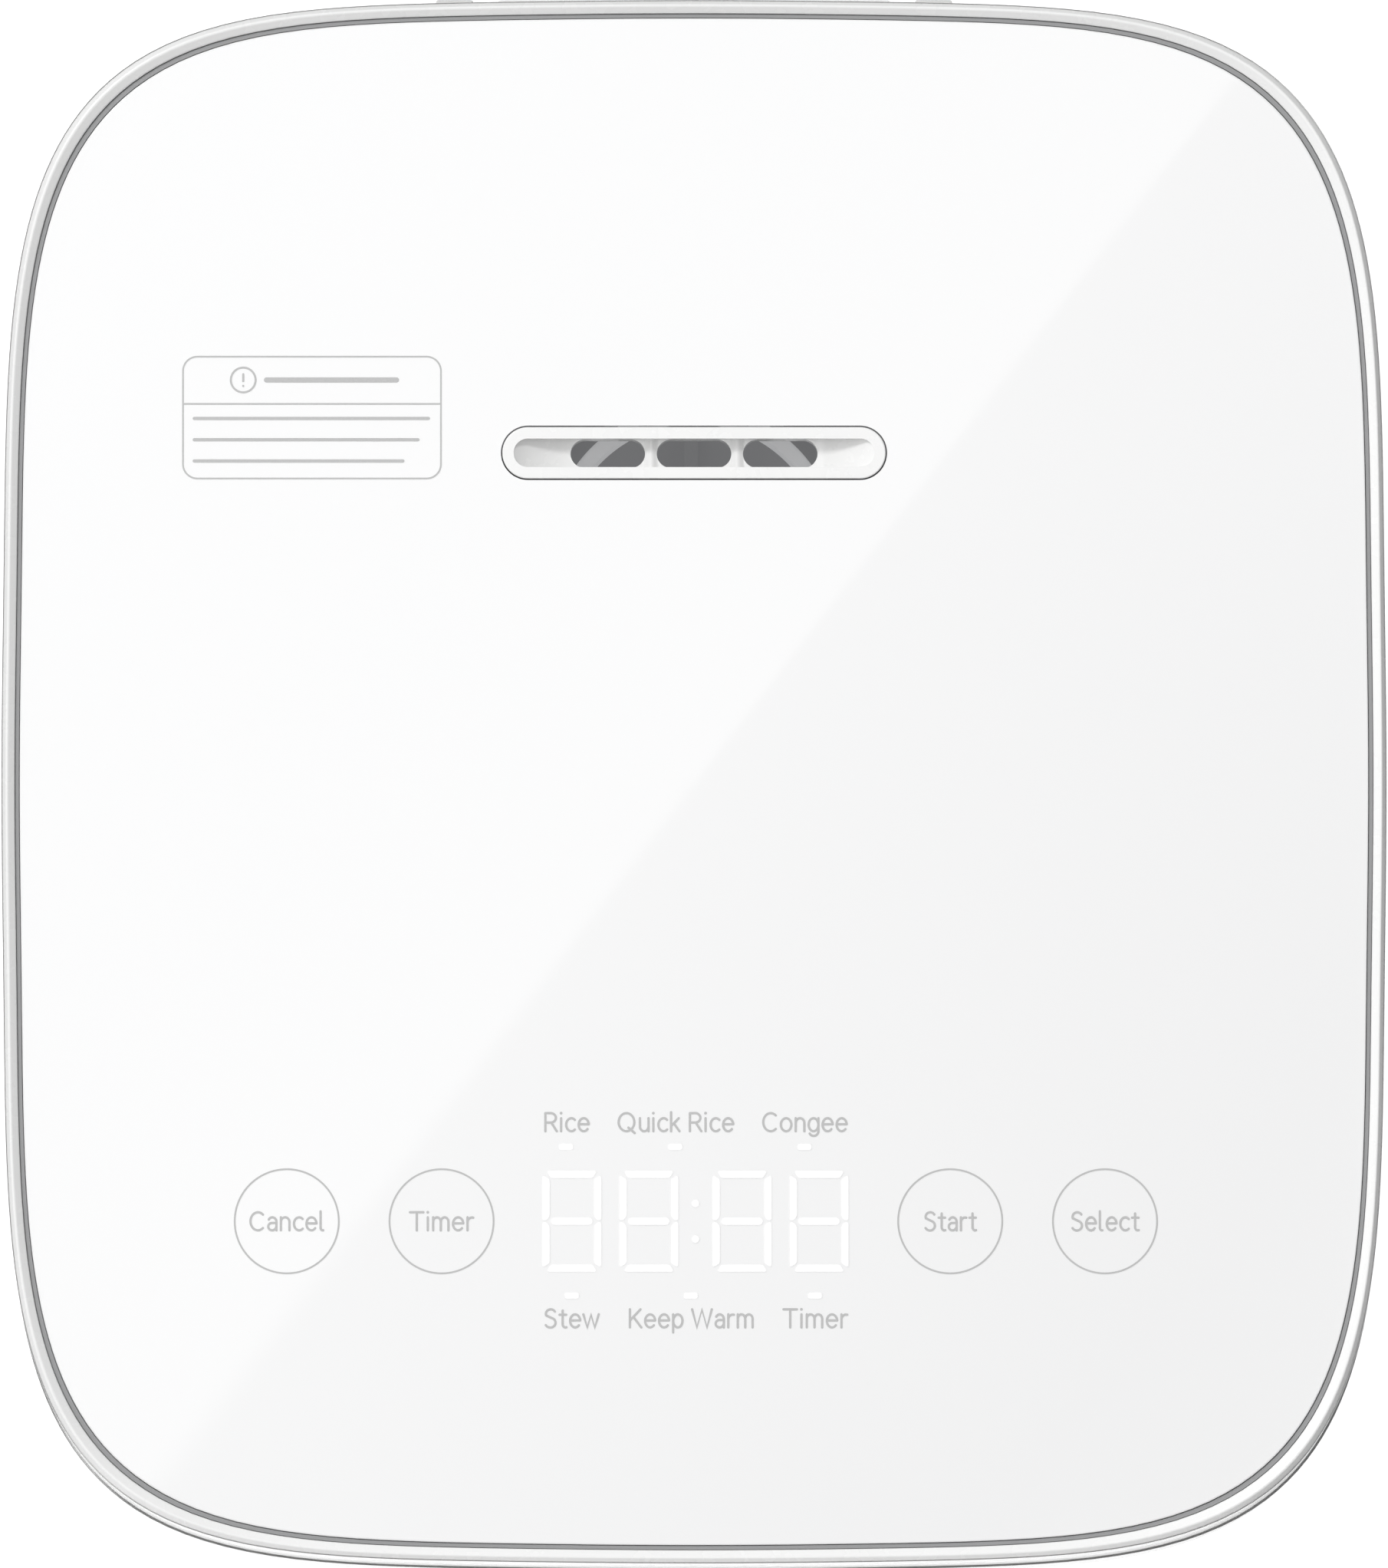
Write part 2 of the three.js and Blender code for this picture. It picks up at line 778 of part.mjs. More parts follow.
const lidSensor = joined([rodZ(3.5, 156, 165, 0, 0, 16), rodZ(6, 163.4, 165.4, 0, 0, 16)]);
part(lid, "lid_sensor", lidSensor, STEEL, [-45, 0, 0]);

// Catch that hangs through the collar and is held by the latch slide.
function lidCatch() {
  const stem = block(-9, 9, -1, 1, 138, 154);
  const head = block(-13, 13, -5, 5, 153, 155);
  return stem.add(head).subtract(block(-7, 7, -3, 3, 139.5, 143.5));
}

part(lid, "lid_catch", lidCatch(), DARK_PLASTIC, [0, CATCH_Y, 0]);

// ---------------------------------------------------------------- steam vent

const steamVent = new THREE.Group();
steamVent.name = "steam_vent";
cooker.add(steamVent);

function ventCap() {
  const body = stadium(VENT_LENGTH, VENT_WIDTH, 196.2, 199.3).add(stadium(63.4, 6.4, 187, 197));
  const cuts = [stadium(61.9, 4.93, 197.5, 201), stadium(61.9, 4.9, 186, 192)];
  for (const i of [-1, 0, 1]) {
    cuts.push(stadium(SLOT_LENGTH, SLOT_WIDTH - 0.04, 180, 205, i * SLOT_PITCH, 0));
  }
  return cutBy(body, cuts);
}

part(steamVent, "vent_cap", ventCap(), WHITE_SHELL, [0, VENT_Y, 0]);

// The hinge stands a little proud of the back, so centre the whole cooker front to back.
cooker.position.y = -(HINGE_Y + BARREL_R - HALF_DEPTH) / 2;

export default cooker;
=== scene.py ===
"""The looks of the rice cooker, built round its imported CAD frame."""

import json
import math

import bmesh
import bpy
import numpy as np
from mathutils import Matrix, Vector


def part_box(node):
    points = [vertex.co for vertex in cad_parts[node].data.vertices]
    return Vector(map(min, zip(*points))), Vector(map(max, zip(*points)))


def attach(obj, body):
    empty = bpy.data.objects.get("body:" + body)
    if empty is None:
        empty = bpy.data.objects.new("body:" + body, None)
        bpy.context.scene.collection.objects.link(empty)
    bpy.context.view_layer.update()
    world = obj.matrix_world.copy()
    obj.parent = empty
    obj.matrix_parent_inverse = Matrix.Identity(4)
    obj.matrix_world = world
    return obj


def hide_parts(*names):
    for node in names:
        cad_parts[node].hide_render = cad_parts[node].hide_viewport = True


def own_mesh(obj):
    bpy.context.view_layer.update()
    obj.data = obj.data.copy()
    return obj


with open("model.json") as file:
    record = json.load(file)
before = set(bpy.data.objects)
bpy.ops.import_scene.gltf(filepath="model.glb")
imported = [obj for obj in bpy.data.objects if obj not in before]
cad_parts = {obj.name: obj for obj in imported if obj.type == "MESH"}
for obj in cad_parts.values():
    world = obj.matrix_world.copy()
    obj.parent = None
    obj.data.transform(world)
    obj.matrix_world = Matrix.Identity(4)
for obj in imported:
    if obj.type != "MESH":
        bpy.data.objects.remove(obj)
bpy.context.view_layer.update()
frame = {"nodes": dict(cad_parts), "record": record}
scene = bpy.context.scene
NODES = frame["nodes"]


def box_mm(node):
    low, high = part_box(node)
    return np.array(low) * 1000, np.array(high) * 1000


# ---- measurements
# Millimetres, read from the frame where the frame holds them.
# From above, the outline is a superellipse of this power, with a very slight swell along each side.

BODY_LOW, BODY_HIGH = box_mm("outer_body")
PANEL_LOW, PANEL_HIGH = box_mm("top_panel")
LID_HIGH = box_mm("lid_shell")[1]
CAP_LOW, CAP_HIGH = box_mm("vent_cap")
PIN_LOW, PIN_HIGH = box_mm("hinge_pin")
HALF_W = (BODY_HIGH[0] - BODY_LOW[0]) / 2
HALF_D = (BODY_HIGH[1] - BODY_LOW[1]) / 2
MID_Y = (BODY_HIGH[1] + BODY_LOW[1]) / 2
POWER = 5.1
SWELL = 0.19
PANEL_Z = PANEL_HIGH[2]
LID_TOP = LID_HIGH[2]
LID_LOW_Z = 150.0
BODY_TOP = BODY_HIGH[2]
HINGE_Y = (PIN_LOW[1] + PIN_HIGH[1]) / 2
HINGE_Z = (PIN_LOW[2] + PIN_HIGH[2]) / 2
VENT_Y = (CAP_LOW[1] + CAP_HIGH[1]) / 2
STEAM_Y = MID_Y + 40.2
BUTTON = (34, 11)
FINE = 240


# ---- meshes

def unit(vector):
    return vector / np.linalg.norm(vector)


def new_object(name, verts, faces, sharp=32.0):
    """A mesh piece from points in millimetres, smooth but for edges sharper than the angle."""
    mesh = bpy.data.meshes.new(name)
    mesh.from_pydata([tuple(np.asarray(v, float) / 1000) for v in verts], [], faces)
    mesh.validate()
    obj = bpy.data.objects.new(name, mesh)
    scene.collection.objects.link(obj)
    tidy(obj, sharp)
    return obj


def tidy(obj, sharp=32.0, weld=1e-7):
    """Welds the mesh, faces it outwards and marks its sharp edges."""
    work = bmesh.new()
    work.from_mesh(obj.data)
    bmesh.ops.remove_doubles(work, verts=work.verts, dist=weld)
    bmesh.ops.dissolve_degenerate(work, edges=work.edges, dist=weld)
    bmesh.ops.recalc_face_normals(work, faces=work.faces)
    limit = math.radians(sharp)
    for face in work.faces:
        face.smooth = True
    for edge in work.edges:
        edge.smooth = not edge.is_manifold or edge.calc_face_angle(0) < limit
    work.to_mesh(obj.data)
    work.free()
    obj.data.update()


def cut(obj, cutters, mode="DIFFERENCE"):
    """Takes the cutter solids out of a piece, adds them, or keeps only what they cover."""
    for cutter in cutters:
        change = obj.modifiers.new("change", "BOOLEAN")
        change.operation = mode
        change.solver = "MANIFOLD"
        change.object = cutter
        graph = bpy.context.evaluated_depsgraph_get()
        mesh = bpy.data.meshes.new_from_object(obj.evaluated_get(graph))
        obj.modifiers.clear()
        old = obj.data
        obj.data = mesh
        bpy.data.meshes.remove(old)
        bpy.data.objects.remove(cutter)
    obj.data.name = obj.name
    tidy(obj, weld=2e-7)
    return obj


def grid_faces(rows, cols, close_rows=True, close_cols=False):
    """Quads of a grid numbered row by row."""
    faces = []
    for i in range(rows if close_rows else rows - 1):
        for j in range(cols if close_cols else cols - 1):
            a = i * cols + j
            b = i * cols + (j + 1) % cols
            c = ((i + 1) % rows) * cols + (j + 1) % cols
            d = ((i + 1) % rows) * cols + j
            faces.append((a, b, c, d))
    return faces


def plan_radius(angle, inset):
    """The outline's radius at each angle, for an inset from the widest line."""
    a, b = HALF_W - SWELL - inset, HALF_D - inset
    across = np.abs(np.cos(angle) / a) ** POWER + np.abs(np.sin(angle) / b) ** POWER
    return across ** (-1 / POWER) + SWELL * np.cos(8 * angle)


def outline_angles(segments):
    """Angles once round the outline, closer together at the corners."""
    turn = np.arange(segments) / segments * 2 * math.pi
    return turn + 0.45 * np.sin(4 * turn) / 4


def bend(p0, p1, p2, radius, steps):
    """Points round the corner p1, starting and ending up to the radius away from it."""
    p0, p1, p2 = (np.array(p, float) for p in (p0, p1, p2))
    one, two = p0 - p1, p2 - p1
    reach = min(radius, 0.49 * np.linalg.norm(one), 0.49 * np.linalg.norm(two))
    start = p1 + unit(one) * reach
    end = p1 + unit(two) * reach
    out = []
    for t in np.linspace(0, 1, steps + 1):
        out.append((1 - t) ** 2 * start + 2 * t * (1 - t) * p1 + t * t * end)
    return out


def eased(profile, closed=True, steps=5):
    """Rounds each corner of [(kind, value, z, radius)] whose neighbours are both of its kind."""
    out = []
    count = len(profile)
    for i, (kind, value, z, radius) in enumerate(profile):
        before, after = profile[i - 1], profile[(i + 1) % count]
        inner = closed or 0 < i < count - 1
        if radius > 0 and inner and before[0] == kind == after[0]:
            for u, w in bend(before[1:3], (value, z), after[1:3], radius, steps):
                out.append((kind, u, w))
        else:
            out.append((kind, value, z))
    return out


def flowing(points, per=6):
    """A smooth curve through the points (Catmull-Rom)."""
    pts = [np.array(p, float) for p in points]
    pts = [2 * pts[0] - pts[1], *pts, 2 * pts[-1] - pts[-2]]
    out = []
    for a, b, c, d in zip(pts, pts[1:], pts[2:], pts[3:]):
        for t in np.linspace(0, 1, per, endpoint=False):
            out.append(
                0.5 * (2 * b + (c - a) * t + (2 * a - 5 * b + 4 * c - d) * t * t
                       + (3 * b - a - 3 * c + d) * t ** 3)
            )
    out.append(pts[-2])
    return out


def turned(name, profile, segments=FINE, centre=(0.0, MID_Y), closed=True, ease=5):
    """Sweeps a profile round the upright axis. A point is (kind, value, z, rounding): kind S is an inset
    from the cooker's widest outline, and kind R a plain radius."""
    line = eased(profile, closed, ease)
    angle = outline_angles(segments)
    radii = []
    for kind, value, z in line:
        radii.append(plan_radius(angle, value) if kind == "S" else np.full(segments, float(value)))
    verts = []
    for k in range(segments):
        across, along = math.cos(angle[k]), math.sin(angle[k])
        for r, (kind, value, z) in zip(radii, line):
            verts.append((centre[0] + r[k] * across, centre[1] + r[k] * along, z))
    return new_object(name, verts, grid_faces(segments, len(line), True, closed))


def circle(cx, cy, r, steps=96):
    turn = np.linspace(0, 2 * math.pi, steps, False)
    return [(cx + r * math.cos(a), cy + r * math.sin(a)) for a in turn]


def shape_outline(width, depth, radius, steps=12):
    """A rectangle with rounded corners, round its own middle."""
    w, d = width / 2 - radius, depth / 2 - radius
    out = []
    for sx, sy, start in ((1, 1, 0), (-1, 1, 90), (-1, -1, 180), (1, -1, 270)):
        for t in np.linspace(start, start + 90, steps + 1):
            a = math.radians(t)
            out.append((sx * w + radius * math.cos(a), sy * d + radius * math.sin(a)))
    return out


def prism(name, outline, z0, z1, at=(0, 0, 0), edge=0.0, upright=False, levels=None):
    """An outline raised from z0 to z1 with rounded rims, or through levels of (inset, z). Upright ones
    run along -Y, from z0 out to z1."""
    outline = [np.array(p, float) for p in outline]
    kept = [p for i, p in enumerate(outline) if np.linalg.norm(p - outline[i - 1]) > 1e-6]
    if not levels:
        quarter = np.radians(np.linspace(0, 90, 5)) if edge > 0 else [math.pi / 2]
        curve = [(edge * (1 - math.sin(a)), edge * (1 - math.cos(a))) for a in quarter]
        levels = [(u, z0 + w) for u, w in curve] + [(u, z1 - w) for u, w in reversed(curve)]
    count = len(kept)
    normals = []
    for i in range(count):
        along = unit(kept[(i + 1) % count] - kept[i - 1])
        normals.append(np.array((along[1], -along[0])))
    verts = []
    for inset, z in levels:
        for p, n in zip(kept, normals):
            q = p - n * inset
            verts.append((q[0], q[1], z))
    faces = grid_faces(len(levels), count, False, True)
    faces.append(tuple(reversed(range(count))))
    faces.append(tuple(range(len(levels) * count - count, len(levels) * count)))
    if upright:
        verts = [(v[0], -v[2], v[1]) for v in verts]
    verts = [tuple(np.array(v) + np.array(at)) for v in verts]
    return new_object(name, verts, faces)


def block(name, x0, x1, y0, y1, z0, z1):
    outline = [(x0, y0), (x1, y0), (x1, y1), (x0, y1)]
    return prism(name, outline, z0, z1)


def rod_x(name, radius, x0, x1, y, z, edge=0.3, segments=64):
    """A round bar along X with rounded ends."""
    ends = [(x0, radius - edge), (x0 + edge * 0.3, radius - edge * 0.3), (x0 + edge, radius)]
    ends += [(x1 - edge, radius), (x1 - edge * 0.3, radius - edge * 0.3), (x1, radius - edge)]
    verts = []
    for x, r in ends:
        for k in range(segments):
            a = 2 * math.pi * k / segments
            verts.append((x, y + r * math.cos(a), z + r * math.sin(a)))
    faces = grid_faces(len(ends), segments, False, True)
    faces.append(tuple(range(segments)))
    faces.append(tuple(range((len(ends) - 1) * segments, len(ends) * segments)))
    return new_object(name, verts, faces)


def join(target, others):
    """Puts the others' meshes into the target's."""
    work = bmesh.new()
    work.from_mesh(target.data)
    for other in others:
        work.from_mesh(other.data)
        bpy.data.objects.remove(other)
    work.to_mesh(target.data)
    work.free()
    tidy(target)
    return target


# ---- materials

def material(name):
    made = bpy.data.materials.new(name)
    made.use_nodes = True
    tree = made.node_tree
    shader = tree.nodes["Principled BSDF"]
    return made, tree, shader


def value_noise(tree, scale, detail=3.0, stretch=(1, 1, 1)):
    spot = tree.nodes.new("ShaderNodeTexCoord")
    fit = tree.nodes.new("ShaderNodeMapping")
    fit.inputs["Scale"].default_value = stretch
    noise = tree.nodes.new("ShaderNodeTexNoise")
    noise.inputs["Scale"].default_value = scale
    noise.inputs["Detail"].default_value = detail
    tree.links.new(spot.outputs["Object"], fit.inputs["Vector"])
    tree.links.new(fit.outputs["Vector"], noise.inputs["Vector"])
    return noise.outputs["Fac"]


def ranged(tree, source, low, high, start=0.3, end=0.7, kind="LINEAR"):
    """The source from start to end, made to run from low to high."""
    fit = tree.nodes.new("ShaderNodeMapRange")
    fit.interpolation_type = kind
    fit.inputs["From Min"].default_value = start
    fit.inputs["From Max"].default_value = end
    fit.inputs["To Min"].default_value = low
    fit.inputs["To Max"].default_value = high
    tree.links.new(source, fit.inputs["Value"])
    return fit.outputs["Result"]


def blended(tree, source, one, two):
    mix = tree.nodes.new("ShaderNodeMix")
    mix.data_type = "RGBA"
    mix.inputs[6].default_value = (*one, 1)
    mix.inputs[7].default_value = (*two, 1)
    tree.links.new(source, mix.inputs[0])
    return mix.outputs[2]


def toned(tree, shader, source, colour, factor):
    """The base colour, going over into a darker or lighter tone of itself."""
    other = tuple(min(1.0, c * factor) for c in colour)
    tone = blended(tree, ranged(tree, source, 0, 1), colour, other)
    tree.links.new(tone, shader.inputs["Base Color"])
    return tone


def bumped(tree, shader, source, strength, distance):
    bump = tree.nodes.new("ShaderNodeBump")
    bump.inputs["Strength"].default_value = strength
    bump.inputs["Distance"].default_value = distance
    tree.links.new(source, bump.inputs["Height"])
    tree.links.new(bump.outputs["Normal"], shader.inputs["Normal"])


def moulded(name, colour, rough, grain=2500.0, depth=0.00001, strength=0.15, coat=0.0, lift=0.0):
    """Moulded plastic or rubber: fine spark texture, slight cloudiness and uneven gloss. The lift is
    painted light: a glow of its own, which brightens the inside of the steam chamber."""
    made, tree, shader = material(name)
    toned(tree, shader, value_noise(tree, 45.0), colour, 0.98)
    patch = value_noise(tree, 260.0, 4.0)
    tree.links.new(ranged(tree, patch, rough * 0.96, min(1.0, rough * 1.05)), shader.inputs["Roughness"])
    shader.inputs["IOR"].default_value = 1.46
    shader.inputs["Coat Weight"].default_value = coat
    shader.inputs["Coat Roughness"].default_value = 0.05
    shader.inputs["Emission Color"].default_value = (*colour, 1)
    shader.inputs["Emission Strength"].default_value = lift
    bumped(tree, shader, value_noise(tree, grain, 2.0), strength, depth)
    return made


def spun(name, colour, rough, rings=900.0):
    """Metal turned or spun about the upright axis: fine circular lines."""
    made, tree, shader = material(name)
    spot = tree.nodes.new("ShaderNodeTexCoord")
    parts = tree.nodes.new("ShaderNodeSeparateXYZ")
    flat = tree.nodes.new("ShaderNodeCombineXYZ")
    length = tree.nodes.new("ShaderNodeVectorMath")
    length.operation = "LENGTH"
    line = tree.nodes.new("ShaderNodeCombineXYZ")
    noise = tree.nodes.new("ShaderNodeTexNoise")
    noise.inputs["Scale"].default_value = rings
    noise.inputs["Detail"].default_value = 4.0
    for out, into in (
        (spot.outputs["Object"], parts.inputs["Vector"]),
        (parts.outputs["X"], flat.inputs["X"]),
        (parts.outputs["Y"], flat.inputs["Y"]),
        (flat.outputs["Vector"], length.inputs[0]),
        (length.outputs["Value"], line.inputs["X"]),
        (parts.outputs["Z"], line.inputs["Z"]),
        (line.outputs["Vector"], noise.inputs["Vector"]),
    ):
        tree.links.new(out, into)
    grain = noise.outputs["Fac"]
    toned(tree, shader, grain, colour, 0.82)
    tree.links.new(ranged(tree, grain, rough * 0.75, rough * 1.25), shader.inputs["Roughness"])
    shader.inputs["Metallic"].default_value = 1.0
    bumped(tree, shader, grain, 0.2, 0.00002)
    return made


def drawn(name, colour, rough, stretch, scale=600.0):
    """Drawn or rolled metal with a grain along one direction."""
    made, tree, shader = material(name)
    grain = value_noise(tree, scale, 4.0, stretch)
    toned(tree, shader, grain, colour, 0.85)
    tree.links.new(ranged(tree, grain, rough * 0.8, rough * 1.25), shader.inputs["Roughness"])
    shader.inputs["Metallic"].default_value = 1.0
    bumped(tree, shader, grain, 0.15, 0.00001)
    return made


def speckled(name):
    """Dark non-stick coating with a fine mineral fleck."""
    made, tree, shader = material(name)
    fleck = value_noise(tree, 1500.0, 2.0)
    tree.links.new(
        blended(tree, ranged(tree, fleck, 0, 1, 0.6, 0.72), (0.028, 0.028, 0.03), (0.16, 0.16, 0.165)),
        shader.inputs["Base Color"],
    )
    tree.links.new(ranged(tree, value_noise(tree, 300.0), 0.3, 0.42), shader.inputs["Roughness"])
    shader.inputs["Metallic"].default_value = 0.15
    bumped(tree, shader, value_noise(tree, 900.0, 3.0), 0.12, 0.00003)
    return made


def circuit(name):
    """Green solder mask over faint copper tracks."""
    made, tree, shader = material(name)
    spot = tree.nodes.new("ShaderNodeTexCoord")
    brick = tree.nodes.new("ShaderNodeTexBrick")
    brick.inputs["Scale"].default_value = 120.0
    brick.inputs["Color1"].default_value = (0.012, 0.13, 0.055, 1)
    brick.inputs["Color2"].default_value = (0.02, 0.17, 0.075, 1)
    brick.inputs["Mortar"].default_value = (0.035, 0.24, 0.11, 1)
    brick.inputs["Mortar Size"].default_value = 0.03
    tree.links.new(spot.outputs["Object"], brick.inputs["Vector"])
    tree.links.new(brick.outputs["Color"], shader.inputs["Base Color"])
    tree.links.new(ranged(tree, value_noise(tree, 500.0), 0.3, 0.45), shader.inputs["Roughness"])
    bumped(tree, shader, brick.outputs["Fac"], 0.2, 0.00003)
    return made


def panel_face(name):
    """Clear-faced white panel: a white back under a hard glossy front, very faintly rippled."""
    made, tree, shader = material(name)
    cloud = value_noise(tree, 6.0, 2.0)
    tree.links.new(
        blended(tree, ranged(tree, cloud, 0, 1), (0.876, 0.877, 0.879), (0.871, 0.872, 0.874)),
        shader.inputs["Base Color"],
    )
    tree.links.new(ranged(tree, value_noise(tree, 90.0), 0.008, 0.014), shader.inputs["Roughness"])
    shader.inputs["IOR"].default_value = 1.5
    bumped(tree, shader, value_noise(tree, 18.0, 1.0), 0.01, 0.00001)
    return made


def printed(name, colour):
    """Ink on the face, with the faint mottle of a screen print."""
    made, tree, shader = material(name)
    mottle = value_noise(tree, 3000.0, 2.0)
    toned(tree, shader, mottle, colour, 1.06)
    tree.links.new(ranged(tree, mottle, 0.225, 0.275), shader.inputs["Roughness"])
    return made


def glowing(name, colour, power):
    """A lit segment, or the paler rim round it: painted glow, the segment's spreading light put in as
    colour.
    """
    made, tree, shader = material(name)
    tint = toned(tree, shader, value_noise(tree, 1200.0, 2.0), colour, 0.985)
    tree.links.new(tint, shader.inputs["Emission Color"])
    shader.inputs["Emission Strength"].default_value = power
    shader.inputs["Roughness"].default_value = 0.1
    return made


WHITE = moulded("white_shell", (0.875, 0.876, 0.872), 0.27, 1800.0, 0.000006, 0.08, 0.25)
COLLAR = moulded("collar_white", (0.80, 0.80, 0.79), 0.42, 1500.0, 0.00001, 0.2)
PANEL = panel_face("panel_white")
TRIM = moulded("trim_grey", (0.31, 0.313, 0.317), 0.35, 2500.0)
DARK = moulded("dark_plastic", (0.028, 0.028, 0.03), 0.5, 1200.0, 0.00003, 0.4)
# The two steam chamber looks carry painted light: their lift is a glow of their own that brightens the
# chamber's inside.
CHAMBER_PAINTED_GLOW = moulded("chamber_grey", (0.165, 0.166, 0.17), 0.55, 1500.0, 0.00002, 0.3, lift=0.6)
CHAMBER_RIB_PAINTED_GLOW = moulded("chamber_rib_painted_glow", (0.36, 0.362, 0.367), 0.5, 1500.0, 0.00002, 0.3, lift=0.8)
RUBBER = moulded("foot_rubber", (0.045, 0.045, 0.048), 0.72, 900.0, 0.00004, 0.5)
SILICONE = moulded("silicone", (0.70, 0.70, 0.685), 0.45, 700.0, 0.00002, 0.2)
STEEL = drawn("steel", (0.62, 0.63, 0.64), 0.28, (1, 1, 12))
WIRE = drawn("spring_steel", (0.58, 0.59, 0.61), 0.2, (4, 4, 1), 900.0)
ALUMINIUM = spun("aluminium", (0.77, 0.775, 0.78), 0.3)
NON_STICK = speckled("non_stick")
BOARD = circuit("board_green")
BRASS = drawn("brass", (0.72, 0.52, 0.2), 0.3, (12, 1, 1))
INK = printed("print_grey", (0.47, 0.47, 0.47))
LIT = glowing("lit_white", (1.0, 1.0, 1.0), 0.35)
# Painted glow: the paler rim round the lit display segments.
PAINTED_GLOW_HALO = glowing("painted_glow_halo", (0.91, 0.91, 0.91), 0.0)

SLOT_LOOKS = {
    "white_shell": WHITE, "collar_white": COLLAR, "panel_white": PANEL, "trim_grey": TRIM,
    "dark_plastic": DARK, "chamber_grey": CHAMBER_PAINTED_GLOW, "steel": STEEL, "spring_steel": WIRE,
    "aluminium": ALUMINIUM, "non_stick": NON_STICK, "silicone": SILICONE,
    "foot_rubber": RUBBER, "board_green": BOARD, "brass": BRASS,
}


def dress(obj, look):
    obj.data.materials.clear()
    obj.data.materials.append(look)


def place(obj, body, look, nodes=()):
    """Gives a new piece its material and its body, and hides the CAD nodes it stands for."""
    dress(obj, look)
    even = obj.modifiers.new("even_shading", "WEIGHTED_NORMAL")
    even.mode = "FACE_AREA"
    even.weight = 60
    even.keep_sharp = True
    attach(obj, body)
    if nodes:
        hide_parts(*nodes)
    return obj


# Every carried-over CAD node gets the finish of its slot and softened edges.
for entry in frame["record"]["subparts"]:
    node = NODES[entry["node"]]
    dress(node, SLOT_LOOKS[entry["material_slot"]])
    soft = node.modifiers.new("soft_edges", "BEVEL")
    soft.width = 0.00025
    soft.segments = 2
    soft.limit_method = "ANGLE"
    soft.angle_limit = math.radians(50)


# ---- outer body

def outer_body():
    outside = flowing(
        [(24, 4), (16, 4.8), (9.5, 9), (6, 17), (2.6, 40), (0.6, 72), (0, 100), (-0.1, 132), (-0.3, 147)]
    )
    inside = flowing([(2.7, 146), (2.5, 132), (2.5, 100), (5.2, 41), (8.8, 19), (12.8, 11.2), (24, 7)])
    line = [("S", u, z, 0) for u, z in outside]
    # A fine parting slot runs just under the lid, behind a thin lip.
    lip_top, slot_base = BODY_TOP - 0.2, 147.9
    line += [("S", -0.3, lip_top, 0), ("S", -0.26, lip_top, 0), ("S", -0.26, slot_base, 0)]
    line += [("S", 0.05, slot_base, 0), ("S", 0.05, BODY_TOP, 0.05), ("S", 3.0, BODY_TOP, 0.3)]
    line += [("S", u, z, 0) for u, z in inside]
    skin = turned("body_skin", line)
    gap = 0.6
    opening = shape_outline(BUTTON[0] + gap, BUTTON[1] + gap, 5.79)
    hole = prism("hole", opening, -MID_Y + 128, -MID_Y + 140, (0, 0, 128.0), upright=True)
    low, high = box_mm("power_inlet")
    middle = (low[0] + high[0]) / 2
    rim_z = (low[2] + high[2]) / 2
    socket = block(
        "socket", middle - 14.3, middle + 14.3, high[1] - 8, high[1] + 9, rim_z - 10.3, rim_z + 10.3
    )
    cut(skin, [hole, socket])
    return place(skin, "housing", WHITE, ["outer_body"])


outer_body()


def release_button():
    low, high = box_mm("release_button")
    z = (low[2] + high[2]) / 2
    key = prism("button_key", shape_outline(*BUTTON, 5.49), -high[1] + 1.5, -low[1], (0, 0, z), 0.5, True)
    flange = prism("flange", shape_outline(38, 15, 7.49), -high[1], -high[1] + 2, (0, 0, z), 0.3, True)
    join(key, [flange])
    return place(key, "latch", WHITE, ["release_button"])


release_button()


# ---- lid

def rear_chamfer(depth):
    """A long bar turned by 45 degrees, which clears the hinge below the lid's rear edge."""
    half = 20
    reach = half / math.sqrt(2)
    bar = block("chamfer", -200, 200, -half, half, -half, half)
    there = Vector((0, MID_Y + depth + reach, LID_LOW_Z - reach)) / 1000
    bar.data.transform(Matrix.Translation(there) @ Matrix.Rotation(math.radians(45), 4, "X"))
    return bar


def lid_shell():
    shell = turned(
        "lid_skin",
        [
            ("S", 0.05, LID_LOW_Z, 0.4), ("S", 0.05, 199.05, 0), ("S", 0.08, 199.05, 0),
            ("S", 0.08, 198.4, 0), ("S", 0.2, 198.4, 0), ("S", 0.2, 199.1, 0.35),
            ("S", 0.85, LID_TOP, 0.4), ("S", 1.2, LID_TOP, 0.3), ("S", 2.35, PANEL_Z + 0.05, 0.3),
            ("S", 2.35, 196.2, 0), ("S", 7.5, 196.2, 0.2), ("S", 7.5, 193.6, 0.2),
            ("S", 3.2, 193.6, 0), ("S", 2.9, 191, 0), ("S", 2.9, LID_LOW_Z, 0.45),
        ],
        ease=6,
    )
    notches = []
    for x0, x1 in ((36.5, 46), (-46, -36.5)):
        notches.append(block("notch", x0, x1, MID_Y + 119, MID_Y + 140, 140, 167))
    cut(shell, [rear_chamfer(128.6), *notches])
    barrel = rod_x("barrel", 7, -33.8, 33.8, HINGE_Y, HINGE_Z, 0.5, 72)
    join(shell, [barrel])
    return place(shell, "lid", WHITE, ["lid_shell"])


lid_shell()
place(
    turned(
        "panel_trim",
        [("S", 3.11, 196.5, 0), ("S", 2.42, 196.5, 0), ("S", 2.42, 198.7, 0.1), ("S", 3.11, 198.7, 0.1)],
    ),
    "lid", TRIM, ["lid_trim"],
)


